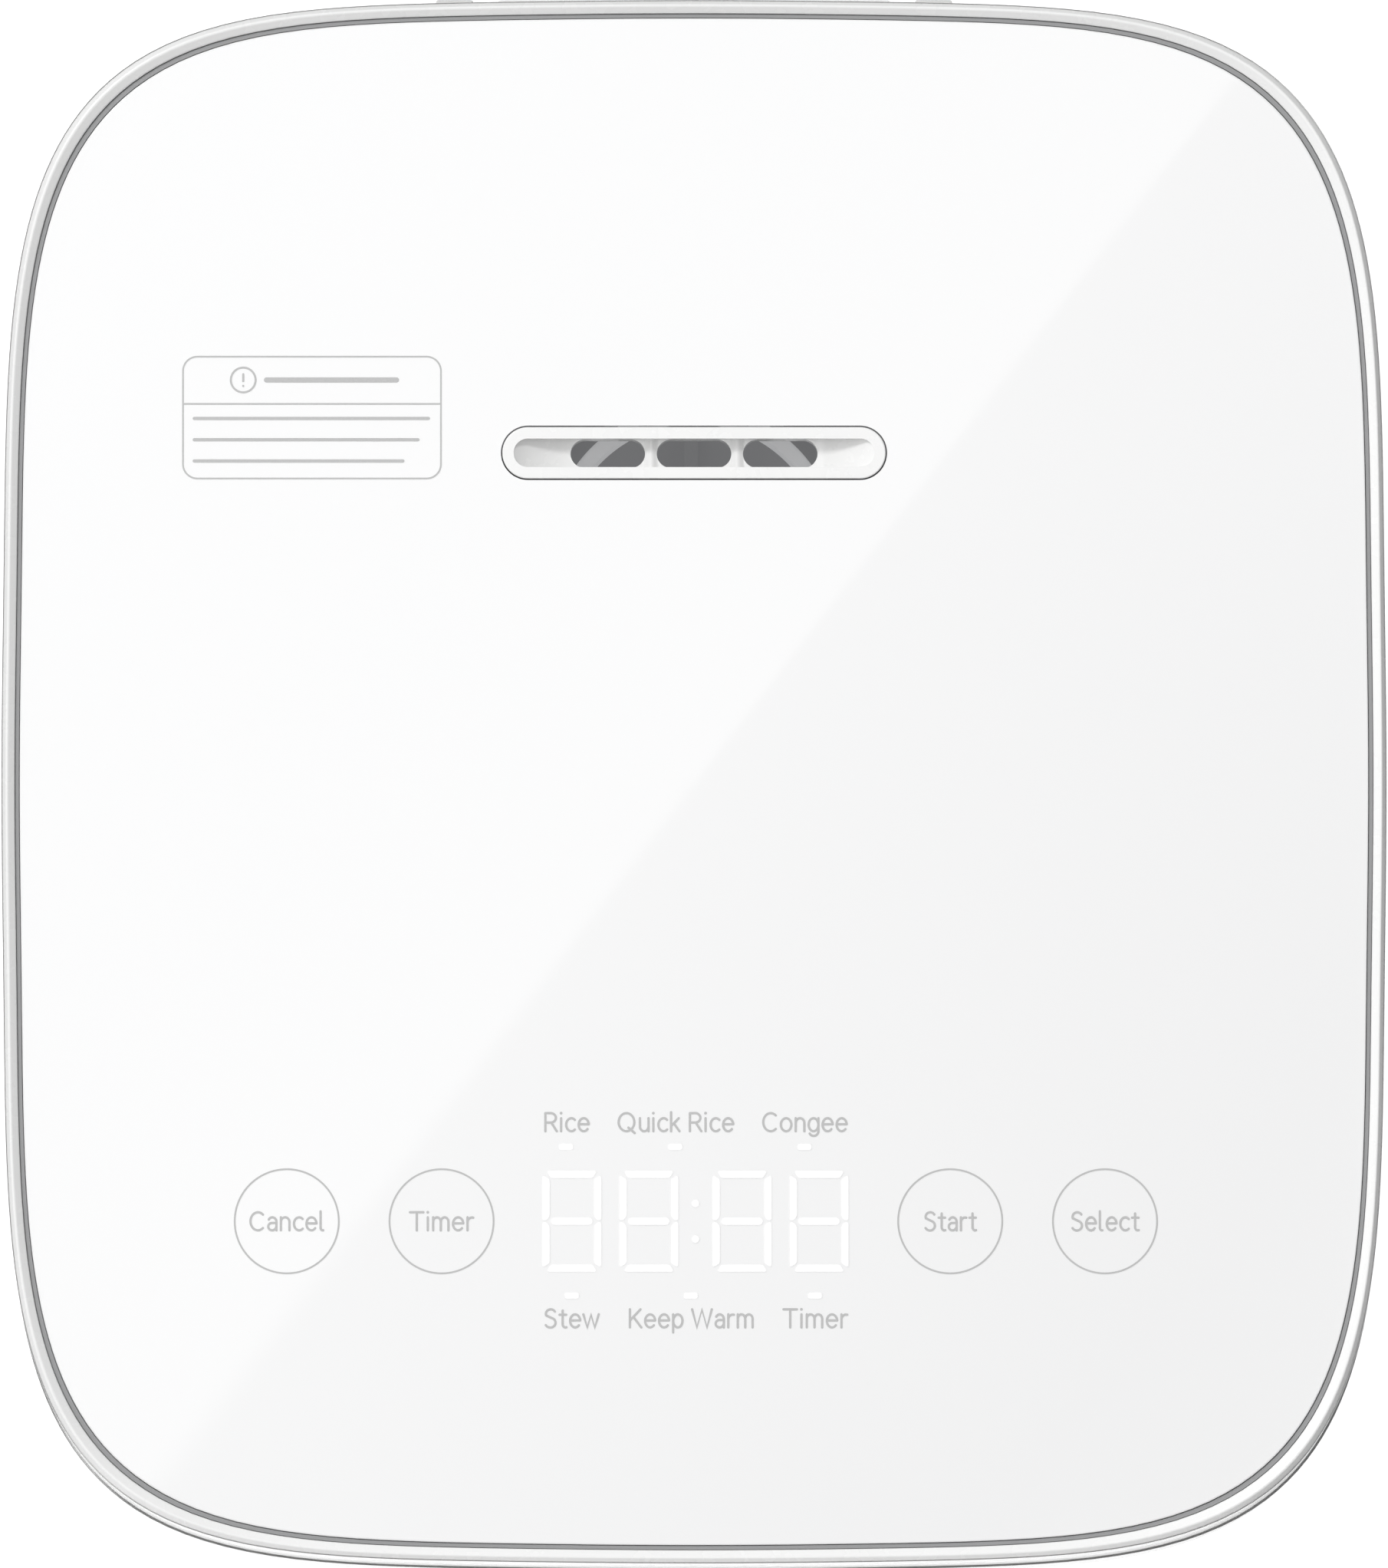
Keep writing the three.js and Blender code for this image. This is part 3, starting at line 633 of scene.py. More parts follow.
def top_panel():
    inset, flat, base = 3.2, 20, PANEL_LOW[2]
    line = eased(
        [("S", flat, base, 0), ("S", inset, base, 0), ("S", inset, PANEL_Z, 0.28), ("S", flat, PANEL_Z, 0)],
        False,
    )
    angle = outline_angles(FINE)
    verts = []
    for kind, value, z in line:
        r = plan_radius(angle, value)
        verts += [(r[k] * math.cos(angle[k]), MID_Y + r[k] * math.sin(angle[k]), z) for k in range(FINE)]
    faces = grid_faces(len(line), FINE, False, True)
    faces.append(tuple(range(FINE)))
    faces.append(tuple(range((len(line) - 1) * FINE, len(line) * FINE)))
    panel = new_object("panel_face", verts, faces)
    opening = prism("opening", shape_outline(66.3, 9.35, 4.675, 16), 190, 205, (0, VENT_Y, 0))
    cut(panel, [opening])
    return place(panel, "lid", PANEL, ["top_panel"])


top_panel()


# ---- steam vent

def vent_cap():
    low, top = CAP_LOW[2], CAP_HIGH[2]
    soft = 0.22
    quarter = np.linspace(math.pi / 2, 0, 6)
    rim = [(soft * (1 - math.sin(a)), top - soft * (1 - math.cos(a))) for a in quarter]
    steps = [(1.4, low), (1.225, low + 0.15), (1.225, 196.2), (0, 196.2), *rim]
    outline = shape_outline(65.8, 8.85, 4.425, 16)
    cap = prism("vent_flange", outline, low, top, (0, VENT_Y, 0), levels=steps)
    # The trough: hollowed ramps down from each end, with rounded saddles between the slots.
    half_long, half_wide, ramp_long, deep, pitch, stations = 30.95, 2.47, 10.6, 4.4, 14.8, 249
    verts = []
    for x in np.linspace(-half_long, half_long, stations):
        ramp = min(1.0, (half_long - abs(x)) / ramp_long)
        depth = deep * (1 - (1 - ramp) ** 2.2)
        gap = abs(abs(x) - pitch / 2)
        if gap < 1.0:
            depth = deep - 0.5 + 0.5 * gap ** 2
        floor = top - 0.05 - depth
        section = ((-half_wide, floor), (half_wide, floor), (half_wide, top + 2), (-half_wide, top + 2))
        verts += [(x, VENT_Y + y, z) for y, z in section]
    faces = grid_faces(stations, 4, False, True)
    faces += [(0, 1, 2, 3), tuple(range(4 * stations - 4, 4 * stations))]
    trough = new_object("trough", verts, faces)
    ends = prism("ends", shape_outline(2 * half_long, 4.9, 2.45, 16), low - 1, top + 3, (0, VENT_Y, 0))
    cut(trough, [ends], mode="INTERSECT")
    tools = [trough]
    for i in (-1, 0, 1):
        outline = shape_outline(12.8, 4.86, 2.43, 16)
        tools.append(prism("slot", outline, low - 2, top + 3, (i * pitch, VENT_Y, 0)))
    cut(cap, tools)
    return place(cap, "steam_vent", WHITE, ["vent_cap"])


vent_cap()


def steam_chamber():
    low, high = box_mm("steam_chamber")
    cy = (low[1] + high[1]) / 2
    base = 165.3
    # The tub, ring and rib glow faintly by themselves: painted light brightening the inside seen through
    # the vent slots.
    tub = prism("steam_box", shape_outline(74, 64, 8), low[2], high[2], (0, cy, 0), 0.6)
    hollow = prism("hollow", shape_outline(70, 60, 6), low[2] + 2, high[2] - 2.3, (0, cy, 0), 0.8)
    mouth = prism("mouth", shape_outline(66.6, 9.6, 4.79, 12), high[2] - 5, high[2] + 5, (0, VENT_Y, 0))
    inlet = prism("inlet", circle(0, 0, 6.5, 48), 150, 167, (0, STEAM_Y, 0))
    cut(tub, [hollow, mouth, inlet])
    place(tub, "lid", CHAMBER_PAINTED_GLOW, ["steam_chamber"])
    wall = turned(
        "steam_ring",
        [("R", 22.4, base, 0), ("R", 25, base, 0), ("R", 25, 183, 0.5), ("R", 22.4, 183, 0.5)],
        120, (0, STEAM_Y),
    )
    upright = [(-1.6, 9), (0.6, 9), (0.6, 22.6), (-1.6, 22.6)]
    rib = prism("steam_rib", upright, base, 176, (0, STEAM_Y, 0), 0.2)
    place(wall, "lid", CHAMBER_RIB_PAINTED_GLOW)
    place(rib, "lid", CHAMBER_PAINTED_GLOW)


steam_chamber()


# ---- inside parts

def top_collar():
    collar = turned(
        "collar",
        [
            ("R", 97, 128, 0.3), ("R", 99.5, 128, 0.3), ("R", 99.5, 143, 0), ("R", 106, 143, 0),
            ("R", 106, 146.4, 0), ("S", 8, 146.4, 0), ("S", 5.3, 146.4, 0), ("S", 5.3, 140, 0.3),
            ("S", 3.3, 140, 0.3), ("S", 3.3, BODY_TOP, 0.5), ("S", 6, BODY_TOP, 0),
            ("R", 111.3, BODY_TOP, 0), ("R", 110.5, BODY_TOP, 0.6), ("R", 109.9, 147.9, 0.6),
            ("R", 107.1, 147.9, 0.6), ("R", 106.5, BODY_TOP, 0.5), ("R", 104, BODY_TOP, 0.5),
            ("R", 104, 145, 0.6), ("R", 97, 145, 0.6),
        ],
    )
    slot = block("slot", -12, 12, MID_Y - 127, MID_Y - 113, 138, 152)
    cut(collar, [slot])
    eyes = []
    for x0, x1 in ((38, 44.5), (-44.5, -38)):
        eye = rod_x("eye", 7, x0, x1, HINGE_Y, HINGE_Z, 0.5)
        web = block("web", x0 + 0.01, x1 - 0.01, MID_Y + 121.5, MID_Y + 130.4, 147, HINGE_Z)
        eyes.append(cut(eye, [web], mode="UNION"))
    join(collar, eyes)
    return place(collar, "housing", COLLAR, ["top_collar"])


top_collar()


def inner_pot():
    low, high = box_mm("inner_pot")
    z0, z1 = low[2], high[2]
    outside = flowing(
        [(60, z0), (72, z0 + 0.3), (83.2, z0 + 3.8), (91.5, z0 + 13), (95, z0 + 28.5), (95, 100)]
    )
    inside = flowing(
        [(93.2, 100), (93.2, z0 + 29), (90, z0 + 15), (82.3, z0 + 5.9), (72, z0 + 2.3), (60, z0 + 2)]
    )
    line = [("R", 0.01, z0, 0)] + [("R", u, w, 0) for u, w in outside]
    line += [("R", 95, 143.6, 0.8), ("R", 96.4, z1 - 2, 0.6), ("R", 103.4, z1 - 2, 0.9)]
    line += [("R", 103.4, z1, 0.9), ("R", 94.9, z1, 1.6), ("R", 93.2, 144.6, 1.0)]
    line += [("R", u, w, 0) for u, w in inside] + [("R", 0.01, z0 + 2, 0)]
    pot = turned("pot", line, 192, closed=False)
    place(pot, "housing", NON_STICK, ["inner_pot"])


inner_pot()


def inner_lid():
    plate = turned(
        "lid_plate",
        [
            ("R", 0.5, 152.6, 0), ("R", 59, 152.6, 2), ("R", 64, 154, 2), ("R", 96.6, 154, 0.3),
            ("R", 96.6, 155.2, 0.3), ("R", 63.5, 155.2, 2), ("R", 58.5, 153.8, 2), ("R", 0.5, 153.8, 0),
        ],
        180,
    )
    holes = []
    for i in range(5):
        a = i / 5 * 2 * math.pi
        at = (4 * math.cos(a), STEAM_Y + 4 * math.sin(a), 0)
        holes.append(prism("steam_hole", circle(0, 0, 1.6, 24), 150, 160, at))
    cut(plate, holes)
    place(plate, "lid", ALUMINIUM, ["inner_lid"])


inner_lid()
place(
    turned(
        "seal",
        [
            ("R", 96, 147.6, 0.5), ("R", 98.5, 147.6, 0.8), ("R", 100.9, 151, 1.2),
            ("R", 100.9, 157.5, 0.5), ("R", 95.4, 157.5, 0.4), ("R", 95.4, 155.5, 0.2),
            ("R", 97, 155.5, 0.2), ("R", 97, 153.7, 0.2), ("R", 95.4, 153.7, 0.2), ("R", 95.4, 151, 0.8),
        ],
        180,
    ),
    "lid", SILICONE, ["seal_ring"],
)


def lid_frame():
    under = turned(
        "lid_frame",
        [
            ("R", 0.5, 160.5, 0), ("R", 101.5, 160.5, 1.5), ("R", 101.5, 150.2, 0.6), ("R", 103, 150.2, 0),
            ("S", 6, 150.2, 0), ("S", 3.3, 150.2, 0.5), ("S", 3.3, 152.7, 0.5), ("S", 6, 152.7, 0),
            ("R", 103.5, 152.7, 0), ("R", 103.5, 163, 0.6), ("R", 0.5, 163, 0),
        ],
    )
    cut(under, [
        rear_chamfer(128.2),
        block("barrel_gap", -46, 46, MID_Y + 119.6, MID_Y + 140, 140, 170),
        block("catch_gap", -9.5, 9.5, MID_Y - 121.4, MID_Y - 118.6, 149, 154),
        prism("steam_gap", circle(0, 0, 9, 48), 155, 168, (0, STEAM_Y, 0)),
    ])
    place(under, "lid", COLLAR, ["lid_inner_frame"])


lid_frame()


def foot(corner):
    low, high = box_mm(f"foot_{corner}")
    at = ((low[0] + high[0]) / 2, (low[1] + high[1]) / 2)
    pad = turned(
        f"pad_{corner}",
        [
            ("R", 0.3, 0, 0), ("R", 6.6, 0, 0.4), ("R", 8, 1.0, 0.6), ("R", 7.6, 3.6, 0.3),
            ("R", 2.2, 3.6, 0), ("R", 2.2, 8, 0.3), ("R", 0.3, 8, 0),
        ],
        48, at,
    )
    place(pad, "housing", RUBBER, [f"foot_{corner}"])


for corner in ("front_left", "front_right", "back_left", "back_right"):
    foot(corner)


# ---- springs

def sprung(name, node, way, wire, turns):
    """A wire coil. It runs from its fixed end along way, a signed axis."""
    low, high = box_mm(node)
    axis, sign = way
    along = np.zeros(3)
    along[axis] = sign
    start = (low + high) / 2
    start[axis] = low[axis] if sign > 0 else high[axis]
    length = high[axis] - low[axis]
    radius = (high[0] - low[0]) / 2 - wire
    side = np.array((1.0, 0.0, 0.0))
    other = np.cross(along, side)
    steps, sides = 28 * turns, 10
    verts = []
    for i in range(steps + 1):
        a = 2 * math.pi * turns * i / steps
        out = side * math.cos(a) + other * math.sin(a)
        middle = start + along * (wire + (length - 2 * wire) * i / steps) + out * radius
        for k in range(sides):
            b = 2 * math.pi * k / sides
            verts.append(middle + (out * math.cos(b) + along * math.sin(b)) * wire)
    faces = grid_faces(steps + 1, sides, False, True)
    faces += [tuple(range(sides)), tuple(range(sides * steps, sides * steps + sides))]
    coil = new_object(name, verts, faces)
    place(coil, "housing", WIRE, [node])
    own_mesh(coil)


sprung("latch_coil", "latch_spring", (1, -1), 0.45, 5)
sprung("sensor_coil", "sensor_spring", (2, 1), 0.7, 3)


# ---- panel graphics

# Letters are drawn in pen strokes on a capital height of 1, and X is the small letters' height.
GLYPHS = {}
X = 0.72
PRINT_X = -0.16
PRINT_LIFT = 0.04
PEN = 0.4
CAPITAL = 3.1


def arc(cx, cy, rx, ry, start, end, steps=14):
    return [
        (cx + rx * math.cos(math.radians(t)), cy + ry * math.sin(math.radians(t)))
        for t in np.linspace(start, end, steps + 1)
    ]


def glyph(letter, width, *strokes):
    GLYPHS[letter] = (width, strokes)


glyph("C", 0.78, arc(0.44, 0.5, 0.40, 0.5, 48, 312, 24))
glyph("K", 0.66, [(0.05, 0), (0.05, 1)], [(0.62, 1), (0.05, 0.38)], [(0.24, 0.58), (0.66, 0)])
glyph("Q", 0.96, arc(0.46, 0.5, 0.42, 0.5, 0, 360, 32), [(0.56, 0.2), (0.9, -0.1)])
glyph("R", 0.66, [(0.05, 0), (0.05, 1)],
      [(0.08, 1), (0.34, 1), *arc(0.34, 0.74, 0.27, 0.26, 90, -90), (0.08, 0.48)],
      [(0.36, 0.48), (0.66, 0)])
glyph("S", 0.6, [*arc(0.32, 0.75, 0.26, 0.25, 30, 200, 12), *arc(0.30, 0.26, 0.28, 0.27, 75, -150, 14)])
glyph("T", 0.7, [(0, 1), (0.7, 1)], [(0.35, 1), (0.35, 0)])
glyph("W", 1.06, [(0, 1), (0.26, 0), (0.53, 0.98), (0.8, 0), (1.06, 1)])
glyph("a", 0.5, [*arc(0.26, 0.47, 0.22, 0.25, 150, 0, 10), (0.48, 0)],
      [(0.48, 0.41), (0.27, 0.41), *arc(0.25, 0.205, 0.21, 0.205, 100, 270, 12),
       *arc(0.25, 0.25, 0.23, 0.25, 280, 340, 5)])
glyph("c", 0.5, arc(0.32, X / 2, 0.28, X / 2, 48, 312, 20))
glyph("e", 0.58, [(0.08, 0.385), (0.56, 0.385)], arc(0.31, X / 2, 0.27, X / 2, 4, 318, 22))
glyph("g", 0.56, arc(0.29, X / 2, 0.26, X / 2, 0, 360, 24),
      [(0.55, X), (0.55, 0.0), *arc(0.30, 0.0, 0.25, 0.26, 0, -150, 12)])
glyph("i", 0.12, [(0.06, 0), (0.06, X)], [(0.06, 1.0)])
glyph("k", 0.5, [(0.05, 0), (0.05, 1.05)], [(0.46, X), (0.05, 0.28)], [(0.2, 0.44), (0.5, 0)])
glyph("l", 0.22, [(0.05, 1.05), (0.05, 0.14), *arc(0.17, 0.14, 0.12, 0.14, 180, 280, 6)])
glyph("m", 0.88, [(0.05, 0), (0.05, X)], [*arc(0.25, 0.47, 0.20, 0.25, 180, 0, 12), (0.45, 0)],
      [*arc(0.65, 0.47, 0.20, 0.25, 180, 0, 12), (0.85, 0)])
glyph("n", 0.54, [(0.05, 0), (0.05, X)], [*arc(0.28, 0.46, 0.23, 0.26, 180, 0, 14), (0.51, 0)])
glyph("o", 0.6, arc(0.31, X / 2, 0.28, X / 2, 0, 360, 26))
glyph("p", 0.56, arc(0.30, X / 2, 0.25, X / 2, 0, 360, 24), [(0.05, X), (0.05, -0.28)])
glyph("r", 0.34, [(0.05, 0), (0.05, X)], arc(0.29, 0.45, 0.24, 0.26, 180, 75, 9))
glyph("t", 0.38, [(0.19, 0.93), (0.19, 0.17), *arc(0.34, 0.17, 0.15, 0.17, 180, 290, 7)],
      [(0.02, X - 0.02), (0.38, X - 0.02)])
glyph("u", 0.54, [(0.05, X), (0.05, 0.27), *arc(0.28, 0.26, 0.23, 0.26, 180, 360, 14)],
      [(0.51, X), (0.51, 0)])
glyph("w", 0.82, [(0, X), (0.21, 0), (0.41, 0.7), (0.61, 0), (0.82, X)])


class Ink:
    """Collects flat strokes and fills in one mesh just above the panel's face."""

    def __init__(self, name, height=PRINT_LIFT, thick=0.02):
        self.name, self.z, self.thick = name, PANEL_Z + height, thick
        self.verts, self.faces, self.strokes = [], [], 0

    def polygon(self, points, lift=0.0):
        """A thin solid on an anticlockwise outline. Lifts keep pieces that cross out of one plane."""
        first, count = len(self.verts), len(points)
        self.verts += [(x, y, self.z + lift - self.thick) for x, y in points]
        self.verts += [(x, y, self.z + lift) for x, y in points]
        self.faces.append(tuple(first + i for i in reversed(range(count))))
        self.faces.append(tuple(first + count + i for i in range(count)))
        for i in range(count):
            j = (i + 1) % count
            self.faces.append((first + i, first + j, first + count + j, first + count + i))

    def band(self, inner, outer, closed, lift=0.0):
        """A ribbon between two matching lines, with its own sides and ends."""
        first, count = len(self.verts), len(inner)
        for z in (self.z + lift - self.thick, self.z + lift):
            self.verts += [(x, y, z) for x, y in inner]
            self.verts += [(x, y, z) for x, y in outer]
        low_in, low_out, top_in, top_out = (first + k * count for k in range(4))
        for i in range(count if closed else count - 1):
            j = (i + 1) % count
            self.faces += [
                (top_in + i, top_in + j, top_out + j, top_out + i),
                (low_out + i, low_out + j, low_in + j, low_in + i),
                (low_in + i, low_in + j, top_in + j, top_in + i),
                (low_out + j, low_out + i, top_out + i, top_out + j),
            ]
        if not closed:
            for i in (0, count - 1):
                self.faces.append((low_in + i, low_out + i, top_out + i, top_in + i))

    def stroke(self, points, width):
        """A pen line of even width with round ends."""
        pts = [np.array(p, float) for p in points]
        pts = [p for i, p in enumerate(pts) if i == 0 or np.linalg.norm(p - pts[i - 1]) > 1e-4]
        half = width / 2
        closed = len(pts) > 3 and np.linalg.norm(pts[0] - pts[-1]) < 1e-3
        if closed:
            pts = pts[:-1]
        count = len(pts)
        left, right = [], []
        for i, p in enumerate(pts):
            before = pts[i - 1] if (i > 0 or closed) else p
            after = pts[(i + 1) % count] if (i < count - 1 or closed) else p
            ways = [unit(way) for way in (p - before, after - p) if np.linalg.norm(way) > 0]
            one, two = ways[0], ways[-1]
            mean = one + two
            mean = mean / max(np.linalg.norm(mean), 1e-6)
            stretch = 1 / max(0.5, float(mean @ one))
            side = np.array((-mean[1], mean[0])) * half * stretch
            left.append(p + side)
            right.append(p - side)
        if not closed:
            left, right = self.rounded(pts, left, right, half)
        self.strokes += 1
        self.band(right, left, closed, 0.006 * (self.strokes % 4))

    @staticmethod
    def rounded(pts, left, right, half, steps=4):
        """Adds tapering stations beyond each end, so that the line ends in a half circle."""
        caps = []
        for tip, before, sign in ((pts[0], pts[1], -1), (pts[-1], pts[-2], 1)):
            way = unit(tip - before)
            across = sign * np.array((-way[1], way[0]))
            cap = []
            for k in range(1, steps + 1):
                a = math.radians(84 * k / steps)
                middle, side = tip + way * half * math.sin(a), across * half * math.cos(a)
                cap.append((middle + side, middle - side))
            caps.append(cap)
        stations = caps[0][::-1] + list(zip(left, right)) + caps[1]
        return [one for one, other in stations], [other for one, other in stations]

    def word(self, text, x0, x1, base, cap=CAPITAL, width=PEN):
        """Letters spread from x0 to x1 on a baseline."""
        gap, space = 0.17, 0.34
        natural = 0.0
        for letter in text:
            natural += space if letter == " " else GLYPHS[letter][0] + gap
        scale = (x1 - x0 - width) / (natural - gap)
        pen = x0 + width / 2
        for letter in text:
            if letter == " ":
                pen += space * scale
                continue
            advance, strokes = GLYPHS[letter]
            for points in strokes:
                line = [(pen + x * scale, base + y * cap) for x, y in points]
                if len(line) == 1:
                    self.polygon(circle(*line[0], 0.6 * width, 24))
                else:
                    self.stroke(line, width)
            pen += (advance + gap) * scale

    def finished(self, look, slot="panel_white"):
        verts = [(x + PRINT_X, y, z) for x, y, z in self.verts]
        made = new_object(self.name, verts, self.faces, 30)
        return place(made, "lid", look)


KEY_Y = MID_Y - 75.45
KEY_RING = 8.93
KEYS = (("Cancel", -69.7, 13.1), ("Timer", -43.15, 11.2), ("Start", 44.1, 9.2), ("Select", 70.65, 11.9))


def key_prints():
    rings, words = Ink("key_rings"), Ink("key_words")
    for text, x, width in KEYS:
        rings.band(circle(x, KEY_Y, KEY_RING - 0.15), circle(x, KEY_Y, KEY_RING + 0.15), True)
        words.word(text, x - width / 2, x + width / 2, KEY_Y - CAPITAL / 2)
    rings.finished(INK)
    words.finished(INK)


def mode_prints():
    words = Ink("mode_words")
    upper = (("Rice", -25.7, -17.7), ("Quick Rice", -13.1, 7.07), ("Congee", 11.7, 26.55))
    lower = (("Stew", -25.65, -16.0), ("Keep Warm", -11.2, 10.5), ("Timer", 15.3, 26.6))
    for row, base in ((upper, MID_Y - 60.0), (lower, MID_Y - 93.65)):
        for text, x0, x1 in row:
            words.word(text, x0, x1, base)
    words.finished(INK)


def notice_block():
    """A plain framed block: rounded frame, divider, a round symbol with a bar, and ruled rows."""
    lines = Ink("notice_frame")
    cx, cy = -65.4, MID_Y + 62.45
    outer = shape_outline(44.55, 21.2, 2.6)
    inner = shape_outline(43.97, 20.62, 2.31)
    lines.band([(cx + x, cy + y) for x, y in inner], [(cx + x, cy + y) for x, y in outer], True)
    lines.stroke([(-87.4, MID_Y + 64.8), (-43.4, MID_Y + 64.8)], 0.29)
    sign, mid = -77.2, MID_Y + 68.9
    lines.band(circle(sign, mid, 1.95, 48), circle(sign, mid, 2.3, 48), True)
    lines.stroke([(sign, mid + 1.0), (sign, mid - 0.2)], 0.36)
    lines.stroke([(sign, mid - 1.0), (sign, mid - 1.02)], 0.36)
    lines.stroke([(-73.2, mid), (-50.9, mid)], 0.9)
    for row, ends in ((62.3, (-85.6, -45.4)), (58.65, (-85.6, -47.2)), (55.0, (-85.6, -49.8))):
        lines.stroke([(ends[0], MID_Y + row), (ends[1], MID_Y + row)], 0.55)
    lines.finished(INK)


def grown(points, by):
    """A convex outline, anticlockwise, with its sides moved out."""
    pts = [np.array(p, float) for p in points]
    out = []
    for i, p in enumerate(pts):
        one, two = unit(p - pts[i - 1]), unit(pts[(i + 1) % len(pts)] - p)
        n1, n2 = np.array((one[1], -one[0])), np.array((two[1], -two[0]))
        out.append(tuple(p + (n1 + n2) / (1 + n1 @ n2) * by))
    return out


def digit(cx, cy):
    """The seven lit bars of one figure, with rounded corners and small gaps between them."""
    w, h, t, g = 9.87 / 2, 17.1 / 2, 1.02, 0.4
    crown = [(-w + 2 * g, h), (-w + g + t, h - t), (w - g - t, h - t), (w - 2 * g, h)]
    side = [(-w, 0.7 * g), (-w + t / 2, 0.7 * g), (-w + t, g + t / 2), (-w + t, h - t - g), (-w, h - 2 * g)]
    middle = [(-w + t + g, 0), (-w + t + 1.8 * g, -t / 2), (w - t - 1.8 * g, -t / 2), (w - t - g, 0),
              (w - t - 1.8 * g, t / 2), (-w + t + 1.8 * g, t / 2)]
    bars = [middle]
    for sy in (1, -1):
        bars.append([(x, sy * y) for x, y in crown][::sy])
        for sx in (1, -1):
            bars.append([(sx * x, sy * y) for x, y in side][:: sx * sy])
    lit = []
    for bar in bars:
        soft = []
        for i, corner in enumerate(bar):
            soft += bend(bar[i - 1], corner, bar[(i + 1) % len(bar)], 0.32, 3)
        lit.append([(cx + x, cy + y) for x, y in soft])
    return lit


def display_lights():
    lights = []
    for cx in (-20.8, -7.6, 8.4, 21.6):
        lights += digit(cx, KEY_Y)
    dash = shape_outline(2.15, 0.82, 0.25, 4)
    for xs, y in (((-21.8, -3.07, 19.1), -62.7), ((-20.8, -0.4, 20.9), -88.2)):
        lights += [[(x + u, MID_Y + y + v) for u, v in dash] for x in xs]
    lights += [circle(0.4, MID_Y + y, 0.52, 32) for y in (-72.4, -78.5)]
    # The halo is painted glow: a paler rim grown round each lit shape, in place of the light that spreads
    # from it.
    halo, core = Ink("display_painted_glow"), Ink("display_light", 0.08)
    for i, outline in enumerate(lights):
        halo.polygon(grown(outline, 0.2), 0.005 * (i % 4))
        core.polygon(outline)
    halo.finished(PAINTED_GLOW_HALO)
    core.finished(LIT)


key_prints()
mode_prints()
notice_block()
display_lights()


# ---- studio
# Metres. The camera looks almost straight down from far off, and the card over it shows in the panel.

LENS, SENSOR = 1400, 36
COVERED = 0.2689
AWAY = COVERED * LENS / SENSOR
TILT = math.radians(1.76)
TARGET = Vector((0, (MID_Y - 0.46) / 1000, LID_TOP / 1000))
CARD_HIGH = 2.8
EDGE_X, EDGE_Y = 0.7945, 0.6078


def staged(name, verts, faces, look, seen=True):
    mesh = bpy.data.meshes.new(name)
    mesh.from_pydata(verts, [], faces)
    mesh.materials.append(look)
    made = bpy.data.objects.new(name, mesh)
    scene.collection.objects.link(made)
    made.visible_camera = seen
    return made


def square(half):
    return [(-half, -half, 0), (half, -half, 0), (half, half, 0), (-half, half, 0)]


def feed(tree, values, inputs):
    """Puts numbers or sockets into a node's inputs."""
    for value, socket in zip(values, inputs):
        if isinstance(value, (int, float)):
            socket.default_value = value
        else:
            tree.links.new(value, socket)


def maths(tree, operation, *values):
    """One maths node on numbers or sockets."""
    node = tree.nodes.new("ShaderNodeMath")
    node.operation = operation
    feed(tree, values, node.inputs)
    return node.outputs[0]


def mixed(tree, share, one, two):
    """One number going over into another by a share."""
    node = tree.nodes.new("ShaderNodeMix")
    feed(tree, (share, one, two), (node.inputs[0], node.inputs[2], node.inputs[3]))
    return node.outputs[0]


def floor_look():
    """A white floor that glows by itself, brightest under the cooker."""
    made, tree, shader = material("floor_white")
    shader.inputs["Base Color"].default_value = (0.3, 0.3, 0.3, 1)
    tree.links.new(ranged(tree, value_noise(tree, 2.0), 0.9, 0.93), shader.inputs["Roughness"])
    spot = tree.nodes.new("ShaderNodeTexCoord")
    size = tree.nodes.new("ShaderNodeVectorMath")
    size.operation = "LENGTH"
    tree.links.new(spot.outputs["Object"], size.inputs[0])
    shader.inputs["Emission Color"].default_value = (1, 1, 1, 1)
    glow = ranged(tree, size.outputs["Value"], 1.0, 0.55, 0.3, 1.6)
    tree.links.new(glow, shader.inputs["Emission Strength"])
    return made


def card_look():
    """A large softbox seen in the panel's gloss: bright up to a diagonal edge, then falling away."""
    made = bpy.data.materials.new("card")
    made.use_nodes = True
    tree = made.node_tree
    tree.nodes.clear()
    out = tree.nodes.new("ShaderNodeOutputMaterial")
    glow = tree.nodes.new("ShaderNodeEmission")
    spot = tree.nodes.new("ShaderNodeTexCoord")
    parts = tree.nodes.new("ShaderNodeSeparateXYZ")
    tree.links.new(spot.outputs["Object"], parts.inputs["Vector"])
    x, y = parts.outputs["X"], parts.outputs["Y"]
    beyond = maths(tree, "SUBTRACT", maths(tree, "MULTIPLY", x, EDGE_X), maths(tree, "MULTIPLY", y, EDGE_Y))
    along = maths(tree, "ADD", maths(tree, "MULTIPLY", x, EDGE_Y), maths(tree, "MULTIPLY", y, EDGE_X))
    # The edge is sharp at one end and soft at the other.
    share = maths(tree, "DIVIDE", beyond, ranged(tree, along, 0.0002, 0.005, 0.02, -0.2))
    edge = ranged(tree, share, 1.0, 0.0, -1.0, 1.0, "SMOOTHSTEP")
    fall = ranged(tree, beyond, 2.0, 0.75, 0.0, 0.15)
    bright = ranged(tree, beyond, 3.5, 3.0, -0.25, 0.0)
    tree.links.new(mixed(tree, edge, fall, bright), glow.inputs["Strength"])
    tree.links.new(glow.outputs["Emission"], out.inputs["Surface"])
    return made


def card():
    """The softbox, placed where the camera's mirrored line of sight meets it."""
    made = staged("card", square(0.6), [(3, 2, 1, 0)], card_look(), False)
    spread = 1 + CARD_HIGH / (AWAY * math.cos(TILT))
    lean_y = AWAY * math.sin(TILT) * (spread - 1)
    made.location = (0, TARGET.y + lean_y, TARGET.z + CARD_HIGH)


